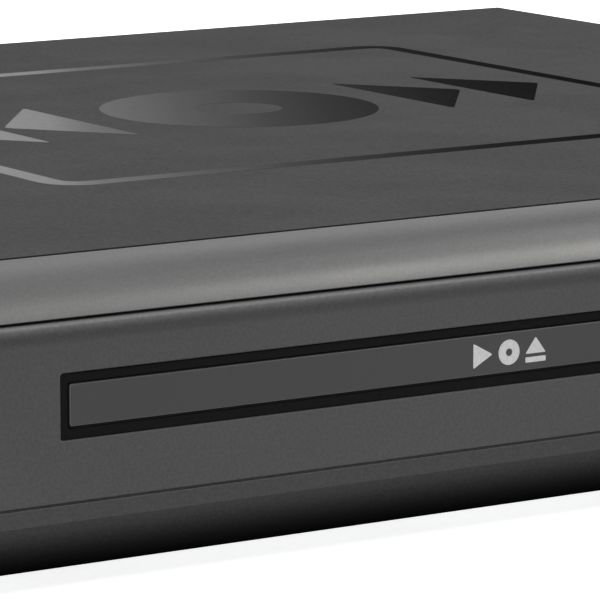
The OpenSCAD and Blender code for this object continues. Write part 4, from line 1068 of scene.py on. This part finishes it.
for node, look, width in (
        ("loader_frame", "loader", 0.08), ("tray", "trayPlastic", 0.3), ("tray_pinion", "acetal", 0.06),
        ("pulley_gear", "acetal", 0.06), ("cam_slider", "acetal", 0.12), ("motor_pulley", "brass", 0.08),
        ("motor_shaft", "shaft", 0.1), ("drive_belt", "belt", 0.15), ("loader_motor", "motor", 0.3),
        ("drive_platform", "platform", 0.05), ("spindle_motor", "motor", 0.2), ("turntable", "dark", 0.2),
        ("guide_rods", "shaft", 0.12), ("lead_screw", "shaft", 0.05), ("feed_motor", "motor", 0.1),
        ("optical_pickup", "casting", 0.2), ("objective_lens", "lens", 0.2),
        ("clamp_magnet", "magnet", 0.1), ("clamper", "white", 0.25)):
    dress(node, looks[look], width)
dress("clamp_bridge", steel, 0.12)
dress("loader_screws", nickel, 0.1)
print("works ready")

electronics = {
    "mask": dict(colour=(0.012, 0.075, 0.025), rough=0.3, grain=700, speckle=0.10, cloud=140, drift=0.25,
                 bump=0.004, specular=0.5, coat=0.3),
    "paper": dict(colour=(0.30, 0.19, 0.07), rough=0.55, grain=900, speckle=0.10, cloud=90, drift=0.15,
                  bump=0.004),
    "epoxy": dict(colour=(0.010, 0.010, 0.011), grain=2500, speckle=0.12, bump=0.004),
    "tape": dict(colour=(0.52, 0.38, 0.05), rough=0.35, grain=600, bump=0.004, specular=0.5,
                 stretch=(0.1, 0.1, 1)),
    "sleeve": dict(colour=(0.012, 0.013, 0.05), rough=0.3, grain=600, bump=0.001, specular=0.5, coat=0.4),
    "aluminium": dict(colour=(0.50, 0.51, 0.52), rough=0.32, grain=900, speckle=0.05, bump=0.002,
                      metallic=1.0, stretch=(1, 0.15, 1)),
    "ivory": dict(colour=(0.50, 0.49, 0.45), rough=0.45, speckle=0.04, bump=0.003),
    "glassy": dict(colour=(0.020, 0.035, 0.035), rough=0.12, grain=500, bump=0, specular=0.5),
    "vinyl": dict(colour=(0.55, 0.02, 0.012), rough=0.35, grain=900, speckle=0.05, bump=0.002,
                  specular=0.45),
    "flat": dict(colour=(0.72, 0.72, 0.68), rough=0.4, grain=900, speckle=0.04, bump=0.003,
                 stretch=(6, 0.1, 0.1)),
}
looks.update({name: finish(name, **look) for name, look in electronics.items()})
for node, look, width in (
        ("main_board", "mask", 0.1), ("socket_board", "mask", 0.1), ("front_board", "mask", 0.1),
        ("power_board", "paper", 0.1), ("main_chips", "epoxy", 0.15), ("transformer", "tape", 0.25),
        ("power_capacitors", "sleeve", 0.5), ("heat_sink", "aluminium", 0.15),
        ("key_switches", "ivory", 0.15), ("display_module", "glassy", 0.15),
        ("power_cable", "vinyl", 0.4), ("front_ribbon", "flat", 0.08)):
    dress(node, looks[look], width)
print("electronics ready")
